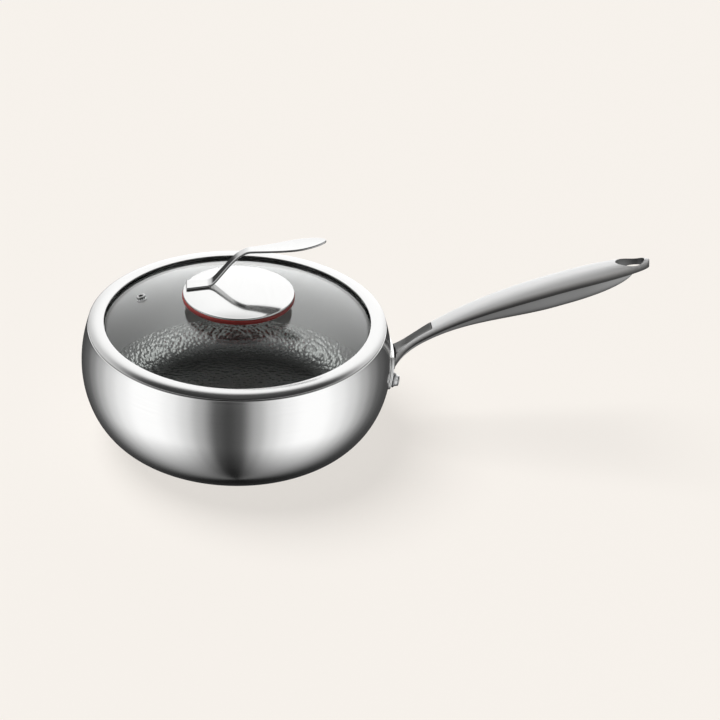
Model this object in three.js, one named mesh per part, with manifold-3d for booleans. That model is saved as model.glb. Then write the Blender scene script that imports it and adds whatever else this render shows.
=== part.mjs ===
// Round-bellied saucepan with a hollow handle and a glass lid.
// Millimetres, +Z up. The origin is the centre of the base on the surface it stands on,
// and the handle points along +X.
import * as THREE from "three";
import { mergeVertices } from "three/addons/utils/BufferGeometryUtils.js";
import Module from "manifold-3d";

const wasm = await Module();
wasm.setup();

// Pot
const BELLY_RADIUS = 104.2;
const BELLY_HEIGHT = 53;
const FLOOR_RADIUS = 74;
const RIM_HEIGHT = 82.6;
const WALL = 1.5;
const SHOULDER_SETBACK = 5;
const SHOULDER_ROUND = 0.6;
const LEDGE_WIDTH = 5.6;
const MOUTH_EDGE_ROUND = 0.5;

// Bonded base
const SPREADER_RADIUS = 69;
const SPREADER_THICKNESS = 3.8;
const CAP_THICKNESS = 1.2;
const CAP_EDGE_ROUND = 2;

// Lid
const LID_LOCATING_CLEARANCE = 0.6;
const BAND_SHEET = 1.1;
const RING_SETBACK = 0.4;
const RING_HEIGHT = 2;
const RING_EDGE = 0.5;
const RING_CROWN = 0.7;
const LOCATING_LIP = 6.3;
const GLASS_THICKNESS = 3.5;
const GLASS_RISE = 14.4;
const GLASS_DROP = 2.3;
const GLASS_OVERLAP = 2.4;
const GLASS_CLEARANCE = 0.5;
const VENT_FROM_EDGE = 22.8;
const VENT_BEARING = 162.5;
const VENT_BORE = 3;
const VENT_TUBE_WALL = 0.6;
const VENT_FLANGE = 1.2;

// Knob
const KNOB_RADIUS = 36.6;
const PLATE_THICKNESS = 1.2;
const PLATE_CROWN = 2.5;
const KNOB_BASE_THICKNESS = 3.1;
const KNOB_BASE_PROUD = 0.5;
const KNOB_BOSS_RADIUS = 16;
const KNOB_BOSS_HEIGHT = 2.3;
const LEAF_OFFSET = 6.6;
const LEAF_THICKNESS = 1.5;
const LEAF_FOOT_LENGTH = 17;
const LEAF_FOOT_HALF_WIDTH = 6;
const LEAF_NECK_HALF_WIDTH = 3.8;
const LEAF_HALF_WIDTH = 8.2;
const LEAF_NECK_HEIGHT = 26;
const LEAF_NECK_RUN = 19;
const LEAF_REACH = 57;
const LEAF_TIP_RISE = 7.5;
const LEAF_SPOON = 0.3;
const INSERT_RADIUS = 4.6;
const SCREW_RADIUS = 2.4;
const SCREW_HEAD_RADIUS = 4.6;
const SCREW_HEAD_HEIGHT = 2.8;
const WASHER_RADIUS = 8.5;
const WASHER_THICKNESS = 1;
const GASKET_THICKNESS = 1.5;

// Handle bracket and rivets
const BRACKET_SHEET = 1.6;
const BRACKET_HALF_WIDTH = 21;
const BRACKET_BELOW_BELLY = 16.5;
const BRACKET_ABOVE_BELLY = 9;
const BRACKET_CORNER = 6;
const PAD_DEPTH = 2;
const PAD_MARGIN = 1.2;
const RIVET_SPACING = 31;
const RIVET_BELOW_BELLY = 9;
const RIVET_SHANK_RADIUS = 2.9;
const RIVET_HEAD_RADIUS = 5.2;
const RIVET_HEAD_HEIGHT = 4.5;
const RIVET_INNER_HEAD_HEIGHT = 2;

// Handle
const HANDLE_REACH = 168.7;
const HANDLE_RISE = 71.4;
const HANDLE_ROOT_ABOVE_BELLY = 4;
const HANDLE_ROOT_HALF_WIDTH = 10.5;
const HANDLE_ROOT_SIDE = 5;
const HANDLE_ROOT_BELLY = 2.8;
const HANDLE_NECK_FROM_ROOT = 20;
const HANDLE_NECK_HALF_WIDTH = 6.2;
const HANDLE_NECK_SIDE = 2.4;
const HANDLE_GRIP_FROM_ROOT = 117;
const HANDLE_GRIP_HALF_WIDTH = 10.4;
const HANDLE_GRIP_SIDE = 4.8;
const HANDLE_CROWN = 3;
const HANDLE_TAPER_LENGTH = 48;
const HANDLE_NECK_BELLY = 3;
const HANDLE_GRIP_BELLY = 13;
const HANDLE_BELLY_TAIL = 49;
const HANDLE_BELLY_FROM_TIP = 14;
const HANDLE_BELLY_INSET = 0.4;
const HANDLE_SHEET = 1.4;
const HANDLE_END_SOLID = 30;
const SCOOP_DEPTH = 2.2;
const SCOOP_RIM = 1.8;
const SCOOP_LENGTH = 31;
const HANG_HOLE_LENGTH = 19;
const HANG_HOLE_WIDTH = 10.6;
const HANG_HOLE_FROM_TIP = 3.8;

// Fits
const SEAM = 0.3;
const HOLE_CLEARANCE = 0.4;

// Facets
const WIDE_FACETS = 48;
const KNOB_FACETS = 40;
const SMALL_FACETS = 16;
const CURVE_STEPS = 8;
const BACK_STEPS = 14;
const BELLY_STEPS = 12;
const ROUND_STEPS = 4;
const EDGE_STEPS = 3;
const LEAF_STEPS = 6;

// Heights and radii that follow from the sizes above
const floorHeight = CAP_THICKNESS + SPREADER_THICKNESS;
const shoulderRadius = BELLY_RADIUS - SHOULDER_SETBACK;
const shoulderHeight = RIM_HEIGHT - SHOULDER_ROUND;
const ledgeRadius = shoulderRadius - SHOULDER_ROUND;
const mouthRadius = ledgeRadius - LEDGE_WIDTH;
const lipRadius = mouthRadius - LID_LOCATING_CLEARANCE;
const grooveRadius = lipRadius - BAND_SHEET;
const glassRadius = grooveRadius - GLASS_CLEARANCE;
const ringInnerRadius = glassRadius - GLASS_OVERLAP;
const ventFromCentre = glassRadius - VENT_FROM_EDGE;
const ringOuterRadius = shoulderRadius - RING_SETBACK;
const bandSeatHeight = RIM_HEIGHT + SEAM;
const ringTop = bandSeatHeight + RING_HEIGHT;
const glassEdgeTop = ringTop - GLASS_DROP;
const glassCrown = glassEdgeTop + GLASS_RISE;
const glassSphere = (ringInnerRadius ** 2 + GLASS_RISE ** 2) / (2 * GLASS_RISE);
const knobBaseBottom = glassCrown + SEAM + KNOB_BOSS_HEIGHT;
const plateBottom = knobBaseBottom + KNOB_BASE_THICKNESS;
const plateTop = plateBottom + PLATE_THICKNESS;
const handleRootHeight = BELLY_HEIGHT + HANDLE_ROOT_ABOVE_BELLY;
const padFace = BELLY_RADIUS + SEAM + PAD_DEPTH;
const rivetBearing = Math.asin(RIVET_SPACING / 2 / BELLY_RADIUS);

// Finishes
const satinSteel = new THREE.MeshStandardMaterial({ color: 0xc4c5c4, roughness: 0.28, metalness: 1 });
const polishedSteel = new THREE.MeshStandardMaterial({ color: 0xe2e2e0, roughness: 0.08, metalness: 1 });
const darkSteel = new THREE.MeshStandardMaterial({ color: 0x9b9c9b, roughness: 0.35, metalness: 1 });
const aluminium = new THREE.MeshStandardMaterial({ color: 0xc9cacc, roughness: 0.45, metalness: 1 });
const clearGlass = new THREE.MeshStandardMaterial({
  color: 0xdfe5e0,
  roughness: 0.02,
  metalness: 0,
  transparent: true,
  opacity: 0.25,
});
const redBase = new THREE.MeshStandardMaterial({ color: 0x9c2a26, roughness: 0.42, metalness: 0 });
const darkSilicone = new THREE.MeshStandardMaterial({ color: 0x2b2b2b, roughness: 0.6, metalness: 0 });

// Closed solids and booleans

function solidOf(geometry) {
  const bare = geometry.clone();
  bare.deleteAttribute("normal");
  bare.deleteAttribute("uv");
  const merged = mergeVertices(bare, 1e-4);
  return new wasm.Manifold(new wasm.Mesh({
    numProp: 3,
    vertProperties: new Float32Array(merged.attributes.position.array),
    triVerts: new Uint32Array(merged.index.array),
  }));
}

function geometryOf(solid) {
  const mesh = solid.getMesh();
  const geometry = new THREE.BufferGeometry();
  geometry.setAttribute("position", new THREE.BufferAttribute(new Float32Array(mesh.vertProperties), 3));
  geometry.setIndex(new THREE.BufferAttribute(new Uint32Array(mesh.triVerts), 1));
  geometry.computeVertexNormals();
  return geometry;
}

// Takes each cutter out of a solid.
function cut(geometry, ...cutters) {
  let solid = solidOf(geometry);
  for (const cutter of cutters) {
    solid = solid.subtract(solidOf(cutter));
  }
  return geometryOf(solid);
}

// Turns a profile of (radius, height) points round the Z axis. The profile runs
// anticlockwise with the radius to the right, so that its faces point outwards.
function turned(points, facets) {
  const closed = points[0].x > 0;
  const profile = closed ? [...points, points[0].clone()] : points;
  return new THREE.LatheGeometry(profile, facets).rotateX(Math.PI / 2);
}

function profile(x, y) {
  const path = new THREE.Path();
  path.moveTo(x, y);
  return path;
}

// Skins a list of rings, each with the same number of points, and caps both ends.
function lofted(rings) {
  const count = rings[0].length;
  const positions = rings.flat();
  const indices = [];
  for (let ring = 0; ring + 1 < rings.length; ring += 1) {
    for (let i = 0; i < count; i += 1) {
      const a = ring * count + i;
      const b = ring * count + (i + 1) % count;
      indices.push(a, b, b + count, a, b + count, a + count);
    }
  }
  for (const [ring, turn] of [[0, -1], [rings.length - 1, 1]]) {
    const centre = rings[ring].reduce((sum, p) => sum.add(p), new THREE.Vector3()).divideScalar(count);
    positions.push(centre);
    for (let i = 0; i < count; i += 1) {
      const a = ring * count + i;
      const b = ring * count + (i + 1) % count;
      indices.push(...(turn > 0 ? [a, b, positions.length - 1] : [b, a, positions.length - 1]));
    }
  }
  const geometry = new THREE.BufferGeometry().setFromPoints(positions);
  geometry.setIndex(indices);
  geometry.computeVertexNormals();
  return geometry;
}

function mesh(name, geometry, material) {
  const piece = new THREE.Mesh(geometry, material);
  piece.name = name;
  return piece;
}

const smooth = (x) => THREE.MathUtils.smoothstep(x, 0, 1);

// Pot

// Outer radius of the belly at a height: an elliptic quarter below the widest ring,
// a parabola drawing in to the shoulder above it.
function wallRadius(height) {
  if (height < BELLY_HEIGHT) {
    const down = (BELLY_HEIGHT - height) / (BELLY_HEIGHT - floorHeight);
    return FLOOR_RADIUS + (BELLY_RADIUS - FLOOR_RADIUS) * Math.sqrt(1 - down ** 2);
  }
  const rise = (height - BELLY_HEIGHT) / (shoulderHeight - BELLY_HEIGHT);
  return BELLY_RADIUS - SHOULDER_SETBACK * rise ** 2;
}

// One side of the wall, from the floor's edge to the mouth: inset 0 is the outside.
function wallPath(inset) {
  const floor = floorHeight + inset;
  const widest = BELLY_RADIUS - inset;
  const shoulder = shoulderRadius - inset;
  const ledge = RIM_HEIGHT - inset;
  const turn = Math.max(SHOULDER_ROUND - inset, SEAM);
  const path = profile(FLOOR_RADIUS, floor);
  path.absellipse(FLOOR_RADIUS, BELLY_HEIGHT, widest - FLOOR_RADIUS, BELLY_HEIGHT - floor, -Math.PI / 2, 0);
  path.quadraticCurveTo(widest, (BELLY_HEIGHT + ledge - turn) / 2, shoulder, ledge - turn);
  path.quadraticCurveTo(shoulder, ledge, shoulder - turn, ledge);
  return path.getPoints(ROUND_STEPS);
}

function potShell() {
  const mouth = profile(mouthRadius + MOUTH_EDGE_ROUND, RIM_HEIGHT);
  mouth.quadraticCurveTo(mouthRadius, RIM_HEIGHT, mouthRadius, RIM_HEIGHT - MOUTH_EDGE_ROUND);
  mouth.lineTo(mouthRadius, RIM_HEIGHT - WALL);
  const outline = [
    new THREE.Vector2(0, floorHeight),
    ...wallPath(0),
    ...mouth.getPoints(EDGE_STEPS - 1),
    ...wallPath(WALL).reverse(),
    new THREE.Vector2(0, floorHeight + WALL),
  ];
  const shell = turned(outline, WIDE_FACETS);
  return cut(shell, ...rivetPlaces.map((place) => rivetHole().applyMatrix4(place)));
}

function baseSpreader() {
  const path = profile(0, CAP_THICKNESS);
  path.lineTo(SPREADER_RADIUS, CAP_THICKNESS);
  path.lineTo(SPREADER_RADIUS, floorHeight);
  path.lineTo(0, floorHeight);
  return turned(path.getPoints(), WIDE_FACETS);
}

// A shallow cup round the spreader, its edge just under the shell's floor.
function baseCap() {
  const inner = SPREADER_RADIUS + SEAM;
  const outer = inner + CAP_THICKNESS;
  const top = floorHeight - SEAM;
  const path = profile(0, 0);
  path.lineTo(outer - CAP_EDGE_ROUND, 0);
  path.quadraticCurveTo(outer, 0, outer, CAP_EDGE_ROUND);
  path.lineTo(outer, top);
  path.lineTo(inner, top);
  path.lineTo(inner, CAP_THICKNESS);
  path.lineTo(0, CAP_THICKNESS);
  return turned(path.getPoints(EDGE_STEPS), WIDE_FACETS);
}

// Bracket and rivets

// A rivet's frame: its origin on the outside of the wall, its axis square to the wall.
function rivetPlace(side) {
  const height = BELLY_HEIGHT - RIVET_BELOW_BELLY;
  const radius = wallRadius(height);
  const step = 0.5;
  const lean = Math.atan2(wallRadius(height + step) - wallRadius(height - step), 2 * step);
  const place = new THREE.Matrix4().makeRotationZ(side * rivetBearing);
  place.multiply(new THREE.Matrix4().makeTranslation(radius, 0, height));
  return place.multiply(new THREE.Matrix4().makeRotationY(Math.PI / 2 + lean));
}

const rivetPlaces = [rivetPlace(-1), rivetPlace(1)];
const rivetGrip = SEAM + BRACKET_SHEET + SEAM;
const rivetInnerFace = -WALL - HOLE_CLEARANCE - SEAM;

function rivetHole() {
  const reach = 4 * (PAD_DEPTH + WALL);
  const radius = RIVET_SHANK_RADIUS + HOLE_CLEARANCE;
  return new THREE.CylinderGeometry(radius, radius, reach, SMALL_FACETS).rotateX(Math.PI / 2);
}

// Low button inside the pot, shank, then a tapered outer head with a domed end.
function rivet() {
  const headEnd = rivetGrip + RIVET_HEAD_HEIGHT;
  const waist = RIVET_HEAD_RADIUS * 0.7;
  const dome = RIVET_HEAD_HEIGHT * 0.3;
  const path = profile(0, rivetInnerFace - RIVET_INNER_HEAD_HEIGHT);
  path.quadraticCurveTo(
    RIVET_HEAD_RADIUS, rivetInnerFace - RIVET_INNER_HEAD_HEIGHT, RIVET_HEAD_RADIUS, rivetInnerFace,
  );
  path.lineTo(RIVET_SHANK_RADIUS, rivetInnerFace);
  path.lineTo(RIVET_SHANK_RADIUS, rivetGrip);
  path.lineTo(RIVET_HEAD_RADIUS, rivetGrip);
  path.lineTo(waist, headEnd - dome);
  path.quadraticCurveTo(waist, headEnd, 0, headEnd);
  return turned(path.getPoints(ROUND_STEPS), SMALL_FACETS);
}

// Round solid that follows the wall at a distance, over the bracket's height.
function wallFollower(distance) {
  const low = BELLY_HEIGHT - BRACKET_BELOW_BELLY - BRACKET_CORNER;
  const high = BELLY_HEIGHT + BRACKET_ABOVE_BELLY + BRACKET_CORNER;
  const points = [new THREE.Vector2(0, low)];
  for (let i = 0; i <= CURVE_STEPS; i += 1) {
    const height = THREE.MathUtils.lerp(low, high, i / CURVE_STEPS);
    points.push(new THREE.Vector2(wallRadius(height) + distance, height));
  }
  points.push(new THREE.Vector2(0, high));
  return turned(points, WIDE_FACETS);
}

// A rounded rectangle in the plane x = 0, carried outwards along X from a start to an end.
function faceBlock(halfWidth, low, high, corner, start, end) {
  const shape = new THREE.Shape();
  shape.moveTo(-halfWidth + corner, low);
  shape.lineTo(halfWidth - corner, low);
  shape.absarc(halfWidth - corner, low + corner, corner, -Math.PI / 2, 0);
  shape.absarc(halfWidth - corner, high - corner, corner, 0, Math.PI / 2);
  shape.absarc(-halfWidth + corner, high - corner, corner, Math.PI / 2, Math.PI);
  shape.absarc(-halfWidth + corner, low + corner, corner, Math.PI, 1.5 * Math.PI);
  const block = new THREE.ExtrudeGeometry(shape, { depth: end - start, bevelEnabled: false, curveSegments: 3 });
  const toX = new THREE.Matrix4().makeBasis(
    new THREE.Vector3(0, 1, 0), new THREE.Vector3(0, 0, 1), new THREE.Vector3(1, 0, 0),
  );
  return block.applyMatrix4(toX).translate(start, 0, 0);
}

// A saddle bent to the wall, with a pad standing out flat for the handle's root.
function handleBracket() {
  const low = BELLY_HEIGHT - BRACKET_BELOW_BELLY;
  const high = BELLY_HEIGHT + BRACKET_ABOVE_BELLY;
  const inside = FLOOR_RADIUS;
  const outside = padFace + BRACKET_SHEET;
  const saddle = solidOf(faceBlock(BRACKET_HALF_WIDTH, low, high, BRACKET_CORNER, inside, outside))
    .intersect(solidOf(wallFollower(SEAM + BRACKET_SHEET)));
  const padHalfWidth = HANDLE_ROOT_HALF_WIDTH + PAD_MARGIN;
  const padLow = handleRootHeight - HANDLE_ROOT_SIDE - HANDLE_ROOT_BELLY - PAD_MARGIN;
  const padHigh = handleRootHeight + PAD_MARGIN;
  const pad = solidOf(faceBlock(padHalfWidth, padLow, padHigh, PAD_MARGIN, inside, padFace));
  let bracket = saddle.add(pad).subtract(solidOf(wallFollower(SEAM)));
  for (const place of rivetPlaces) {
    bracket = bracket.subtract(solidOf(rivetHole().applyMatrix4(place)));
  }
  return geometryOf(bracket);
}

// Handle

// The handle's line, under its back, in the plane y = 0.
const handleRoot = new THREE.Vector2(padFace + SEAM, handleRootHeight);
const handleTip = new THREE.Vector2(handleRoot.x + HANDLE_REACH, handleRoot.y + HANDLE_RISE);
const handleLine = new THREE.CubicBezierCurve(
  handleRoot,
  new THREE.Vector2(handleRoot.x + 0.27 * HANDLE_REACH, handleRoot.y + 0.64 * HANDLE_RISE),
  new THREE.Vector2(handleTip.x - 0.06 * HANDLE_REACH, handleTip.y - 0.02 * HANDLE_RISE),
  handleTip,
);
const handleLength = handleLine.getLength();

// A section's frame at a distance from the root. Sections stand upright at the root
// and turn square to the line past the neck.
function handlePoint(along, across, up) {
  const u = THREE.MathUtils.clamp(along / handleLength, 0, 1);
  const point = handleLine.getPointAt(u);
  const tangent = handleLine.getTangentAt(u);
  const slope = Math.atan2(tangent.y, tangent.x) * smooth(along / (2 * HANDLE_NECK_FROM_ROOT));
  return new THREE.Vector3(point.x - up * Math.sin(slope), across, point.y + up * Math.cos(slope));
}

// Flares at the root, swells in a sine from neck to grip, and ends in an ellipse.
function handleHalfWidth(along) {
  if (along < HANDLE_NECK_FROM_ROOT) {
    const flare = (1 - along / HANDLE_NECK_FROM_ROOT) ** 3;
    return HANDLE_NECK_HALF_WIDTH + (HANDLE_ROOT_HALF_WIDTH - HANDLE_NECK_HALF_WIDTH) * flare;
  }
  const swell = Math.min(1, (along - HANDLE_NECK_FROM_ROOT) / (HANDLE_GRIP_FROM_ROOT - HANDLE_NECK_FROM_ROOT));
  const body = THREE.MathUtils.lerp(
    HANDLE_NECK_HALF_WIDTH, HANDLE_GRIP_HALF_WIDTH, Math.sin(swell * Math.PI / 2),
  );
  const taper = Math.max(0, (along - handleLength + HANDLE_TAPER_LENGTH) / HANDLE_TAPER_LENGTH);
  return body * Math.sqrt(Math.max(0, 1 - taper ** 2));
}

// Depth of the seam between the shells under the line.
function handleSide(along) {
  const root = Math.max(0, 1 - along / HANDLE_NECK_FROM_ROOT) ** 2;
  const grip = smooth((along - HANDLE_NECK_FROM_ROOT) / (HANDLE_GRIP_FROM_ROOT - HANDLE_NECK_FROM_ROOT));
  return HANDLE_NECK_SIDE
    + (HANDLE_ROOT_SIDE - HANDLE_NECK_SIDE) * root
    + (HANDLE_GRIP_SIDE - HANDLE_NECK_SIDE) * grip;
}

// Depth of the lower shell under the seam.
function handleBelly(along) {
  const grip = smooth((along - HANDLE_NECK_FROM_ROOT) / (HANDLE_GRIP_FROM_ROOT - HANDLE_NECK_FROM_ROOT));
  const root = smooth(along / HANDLE_NECK_FROM_ROOT);
  const neck = THREE.MathUtils.lerp(HANDLE_ROOT_BELLY, HANDLE_NECK_BELLY, root);
  const body = THREE.MathUtils.lerp(neck, HANDLE_GRIP_BELLY, grip);
  const tail = Math.max(0, (along - bellyEnd + HANDLE_BELLY_TAIL) / HANDLE_BELLY_TAIL);
  return body * Math.sqrt(Math.max(0, 1 - tail ** 2));
}

// Height of the top over the line at a share of the half width: a round back that falls to
// the seam at the sides, hollowed near the root by a scoop between two rims.
function handleTop(along, share) {
  const half = handleHalfWidth(along);
  const side = handleSide(along);
  const crown = HANDLE_CROWN * half / HANDLE_GRIP_HALF_WIDTH;
  const back = (side + crown) * Math.sqrt(Math.max(0, 1 - Math.abs(share) ** 3)) - side;
  const inner = 1 - SCOOP_RIM / half;
  const scoop = Math.min(back, (SCOOP_DEPTH + crown) * (share / inner) ** 2 - SCOOP_DEPTH);
  const blend = smooth((along - SCOOP_LENGTH) / SCOOP_RIM + 0.5);
  return THREE.MathUtils.lerp(scoop, back, blend);
}

const bellyEnd = handleLength - HANDLE_BELLY_FROM_TIP;
const upperEnd = handleLength - 0.15;

// Distances along the handle, closer together at the scoop's end and at the rounded tip.
function handleStations(start, end, steps) {
  const stations = [];
  for (let i = 0; i <= steps; i += 1) {
    stations.push(THREE.MathUtils.lerp(start, end, Math.sin(i / steps * Math.PI / 2)));
  }
  return stations;
}

// A section of the upper shell: closer together at the sides, flat below.
function upperRing(along, inset, top) {
  const half = handleHalfWidth(along) - inset;
  const ring = [];
  for (let i = 0; i <= BACK_STEPS; i += 1) {
    const share = Math.cos(Math.PI * i / BACK_STEPS);
    ring.push(handlePoint(along, share * half, handleTop(along, share) + top));
  }
  return ring;
}

const cavityStart = Math.max(HANDLE_NECK_FROM_ROOT, SCOOP_LENGTH) + HANDLE_SHEET * 4;
const cavityEnd = handleLength - HANDLE_END_SOLID;

function hangHole() {
  const middle = handleLength - HANG_HOLE_FROM_TIP - HANG_HOLE_LENGTH / 2;
  const shape = new THREE.Shape();
  shape.absellipse(0, 0, HANG_HOLE_LENGTH / 2, HANG_HOLE_WIDTH / 2, 0, 2 * Math.PI);
  const depth = 4 * (HANDLE_CROWN + HANDLE_GRIP_SIDE + HANDLE_GRIP_BELLY);
  const hole = new THREE.ExtrudeGeometry(shape, { depth, bevelEnabled: false, curveSegments: 12 });
  const origin = handlePoint(middle, 0, 0);
  const up = handlePoint(middle, 0, 1).sub(origin);
  const across = new THREE.Vector3(0, 1, 0);
  const along = across.clone().cross(up);
  const place = new THREE.Matrix4().makeBasis(along, across, up).setPosition(origin);
  return hole.translate(0, 0, -depth / 2).applyMatrix4(place);
}

function handleUpperShell() {
  const scoopEnd = SCOOP_LENGTH + SCOOP_RIM;
  const stations = [
    ...handleStations(0, SCOOP_LENGTH - SCOOP_RIM, 6),
    ...handleStations(scoopEnd, upperEnd, 22),
  ];
  const outer = lofted(stations.map((along) => upperRing(along, 0, 0)));
  const cavity = lofted(handleStations(cavityStart, cavityEnd, 12).map(
    (along) => upperRing(along, HANDLE_SHEET, -HANDLE_SHEET),
  ));
  return cut(outer, cavity, hangHole());
}

// The belly's section: flat on top, a rounded U below.
function lowerRing(along, inset, top) {
  const half = handleHalfWidth(along) - HANDLE_BELLY_INSET - inset;
  const seam = -handleSide(along) - SEAM;
  const depth = Math.max(handleBelly(along) - inset, SEAM);
  const ring = [handlePoint(along, half, seam + top), handlePoint(along, -half, seam + top)];
  for (let i = 1; i < BELLY_STEPS; i += 1) {
    const angle = Math.PI * i / BELLY_STEPS;
    const across = -Math.sign(Math.cos(angle)) * Math.abs(Math.cos(angle)) ** 0.8;
    ring.push(handlePoint(along, across * half, seam - depth * Math.sin(angle) ** 0.8));
  }
  return ring;
}

function handleLowerShell() {
  const outer = lofted(handleStations(0, bellyEnd, 20).map((along) => lowerRing(along, 0, 0)));
  const cavity = lofted(handleStations(cavityStart, cavityEnd, 12).map(
    (along) => lowerRing(along, HANDLE_SHEET, HANDLE_SHEET),
  ));
  return cut(outer, cavity, hangHole());
}

// Lid

const glassCentre = glassCrown - glassSphere;
const glassTopAt = (radius) => glassCentre + Math.sqrt(glassSphere ** 2 - radius ** 2);

// Crowned ring that sits on the pot's ledge, with an inner lip that drops into the mouth
// and turns in under the glass.
function lidBand() {
  const edge = bandSeatHeight + RING_EDGE;
  const crownWay = THREE.MathUtils.lerp(ringInnerRadius, ringOuterRadius, 0.68);
  const lipBottom = bandSeatHeight - LOCATING_LIP;
  const sheetTop = ringTop - BAND_SHEET;
  const path = profile(lipRadius, lipBottom);
  path.lineTo(lipRadius, bandSeatHeight);
  path.lineTo(ringOuterRadius - RING_EDGE, bandSeatHeight);
  path.quadraticCurveTo(ringOuterRadius, bandSeatHeight, ringOuterRadius, edge);
  path.quadraticCurveTo(crownWay, ringTop + RING_CROWN, ringInnerRadius, ringTop);
  path.lineTo(ringInnerRadius, sheetTop);
  path.lineTo(grooveRadius, sheetTop);
  path.lineTo(grooveRadius, lipBottom + BAND_SHEET);
  path.lineTo(ringInnerRadius - BAND_SHEET, lipBottom + BAND_SHEET);
  path.lineTo(ringInnerRadius - BAND_SHEET, lipBottom);
  return turned(path.getPoints(ROUND_STEPS), WIDE_FACETS);
}

// Fills the groove between the band's top leg and the glass.
function glassSeal() {
  const inner = ringInnerRadius + SEAM;
  const outer = grooveRadius - SEAM;
  const top = ringTop - BAND_SHEET;
  const path = profile(inner, glassTopAt(inner) + SEAM);
  path.lineTo(outer, glassTopAt(outer) + SEAM);
  path.lineTo(outer, top);
  path.lineTo(inner, top);
  return turned(path.getPoints(), WIDE_FACETS);
}

// The vent's frame: its origin on the top of the glass, its axis square to the dome.
function ventPlace() {
  const lean = Math.asin(ventFromCentre / glassSphere);
  const place = new THREE.Matrix4().makeRotationZ(THREE.MathUtils.degToRad(VENT_BEARING));
  place.multiply(new THREE.Matrix4().makeTranslation(ventFromCentre, 0, glassTopAt(ventFromCentre)));
  return place.multiply(new THREE.Matrix4().makeRotationY(lean));
}

const ventTubeRadius = VENT_BORE / 2 + VENT_TUBE_WALL;
const glassHoleRadius = INSERT_RADIUS;

function lidGlass() {
  const inner = glassSphere - GLASS_THICKNESS;
  const angleAt = (radius, sphere) => Math.acos(radius / sphere);
  const path = new THREE.Path();
  path.absarc(
    0, glassCentre, inner, angleAt(glassHoleRadius, inner), angleAt(glassRadius, inner), true,
  );
  path.absarc(
    0, glassCentre, glassSphere, angleAt(glassRadius, glassSphere), angleAt(glassHoleRadius, glassSphere), false,
  );
  const dome = turned(path.getPoints(EDGE_STEPS), WIDE_FACETS);
  const hole = ventTubeRadius + HOLE_CLEARANCE;
  const vent = new THREE.CylinderGeometry(hole, hole, GLASS_THICKNESS * 4, SMALL_FACETS).rotateX(Math.PI / 2);
  return cut(dome, vent.applyMatrix4(ventPlace()));
}

// A tube rolled over at both ends, on the glass and under it.
function steamVent() {
  const flangeRadius = ventTubeRadius + VENT_FLANGE;
  const above = SEAM + VENT_TUBE_WALL;
  const below = -GLASS_THICKNESS - SEAM - VENT_TUBE_WALL;
  const path = profile(VENT_BORE / 2, below);
  path.lineTo(flangeRadius, below);
  path.lineTo(flangeRadius, below + VENT_TUBE_WALL);
  path.lineTo(ventTubeRadius, below + VENT_TUBE_WALL);
  path.lineTo(ventTubeRadius, SEAM);
  path.lineTo(flangeRadius, SEAM);
  path.quadraticCurveTo(flangeRadius, above, ventTubeRadius, above);
  path.lineTo(VENT_BORE / 2, above);
  return turned(path.getPoints(EDGE_STEPS), SMALL_FACETS);
}

// Knob

const insertHole = INSERT_RADIUS + SEAM;

function knobBase() {
  const rim = KNOB_RADIUS + KNOB_BASE_PROUD;
  const round = KNOB_BASE_THICKNESS / 3;
  const path = profile(insertHole, knobBaseBottom - KNOB_BOSS_HEIGHT);
  path.lineTo(KNOB_BOSS_RADIUS, knobBaseBottom - KNOB_BOSS_HEIGHT);
  path.lineTo(KNOB_BOSS_RADIUS, knobBaseBottom);
  path.lineTo(rim - round, knobBaseBottom);
  path.quadraticCurveTo(rim, knobBaseBottom, rim, knobBaseBottom + round);
  path.lineTo(rim, plateBottom - KNOB_BASE_PROUD);
  path.lineTo(rim - KNOB_BASE_PROUD, plateBottom);
  path.lineTo(insertHole, plateBottom);
  return turned(path.getPoints(EDGE_STEPS), KNOB_FACETS);
}

const plateEdge = PLATE_THICKNESS / 2;

// A low dome, flat below.
function knobPlate() {
  const flat = KNOB_RADIUS - plateEdge;
  const path = profile(0, plateBottom);
  path.lineTo(KNOB_RADIUS, plateBottom);
  path.lineTo(KNOB_RADIUS, plateTop - plateEdge);
  path.quadraticCurveTo(KNOB_RADIUS, plateTop, flat, plateTop);
  path.quadraticCurveTo(flat / 2, plateTop + PLATE_CROWN, 0, plateTop + PLATE_CROWN);
  return turned(path.getPoints(CURVE_STEPS), KNOB_FACETS);
}

// The strip's underside, in the plane of its length: a foot along the plate's dome, a
// steep straight neck, and a leaf that rises gently to its tip.
const leafFootEnd = Math.sqrt(KNOB_RADIUS ** 2 - (LEAF_OFFSET + LEAF_FOOT_HALF_WIDTH) ** 2);
const leafBend = -leafFootEnd + LEAF_FOOT_LENGTH;
const leafNeckEnd = leafBend + LEAF_NECK_RUN;

// Height of the foot: just over the dome at the strip's edge nearest the middle.
function footHeight(x) {
  const nearest = Math.max(0, LEAF_OFFSET - LEAF_FOOT_HALF_WIDTH);
  const share = (x ** 2 + nearest ** 2) / (KNOB_RADIUS - plateEdge) ** 2;
  return plateTop + PLATE_CROWN * (1 - share) + SEAM;
}

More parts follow.
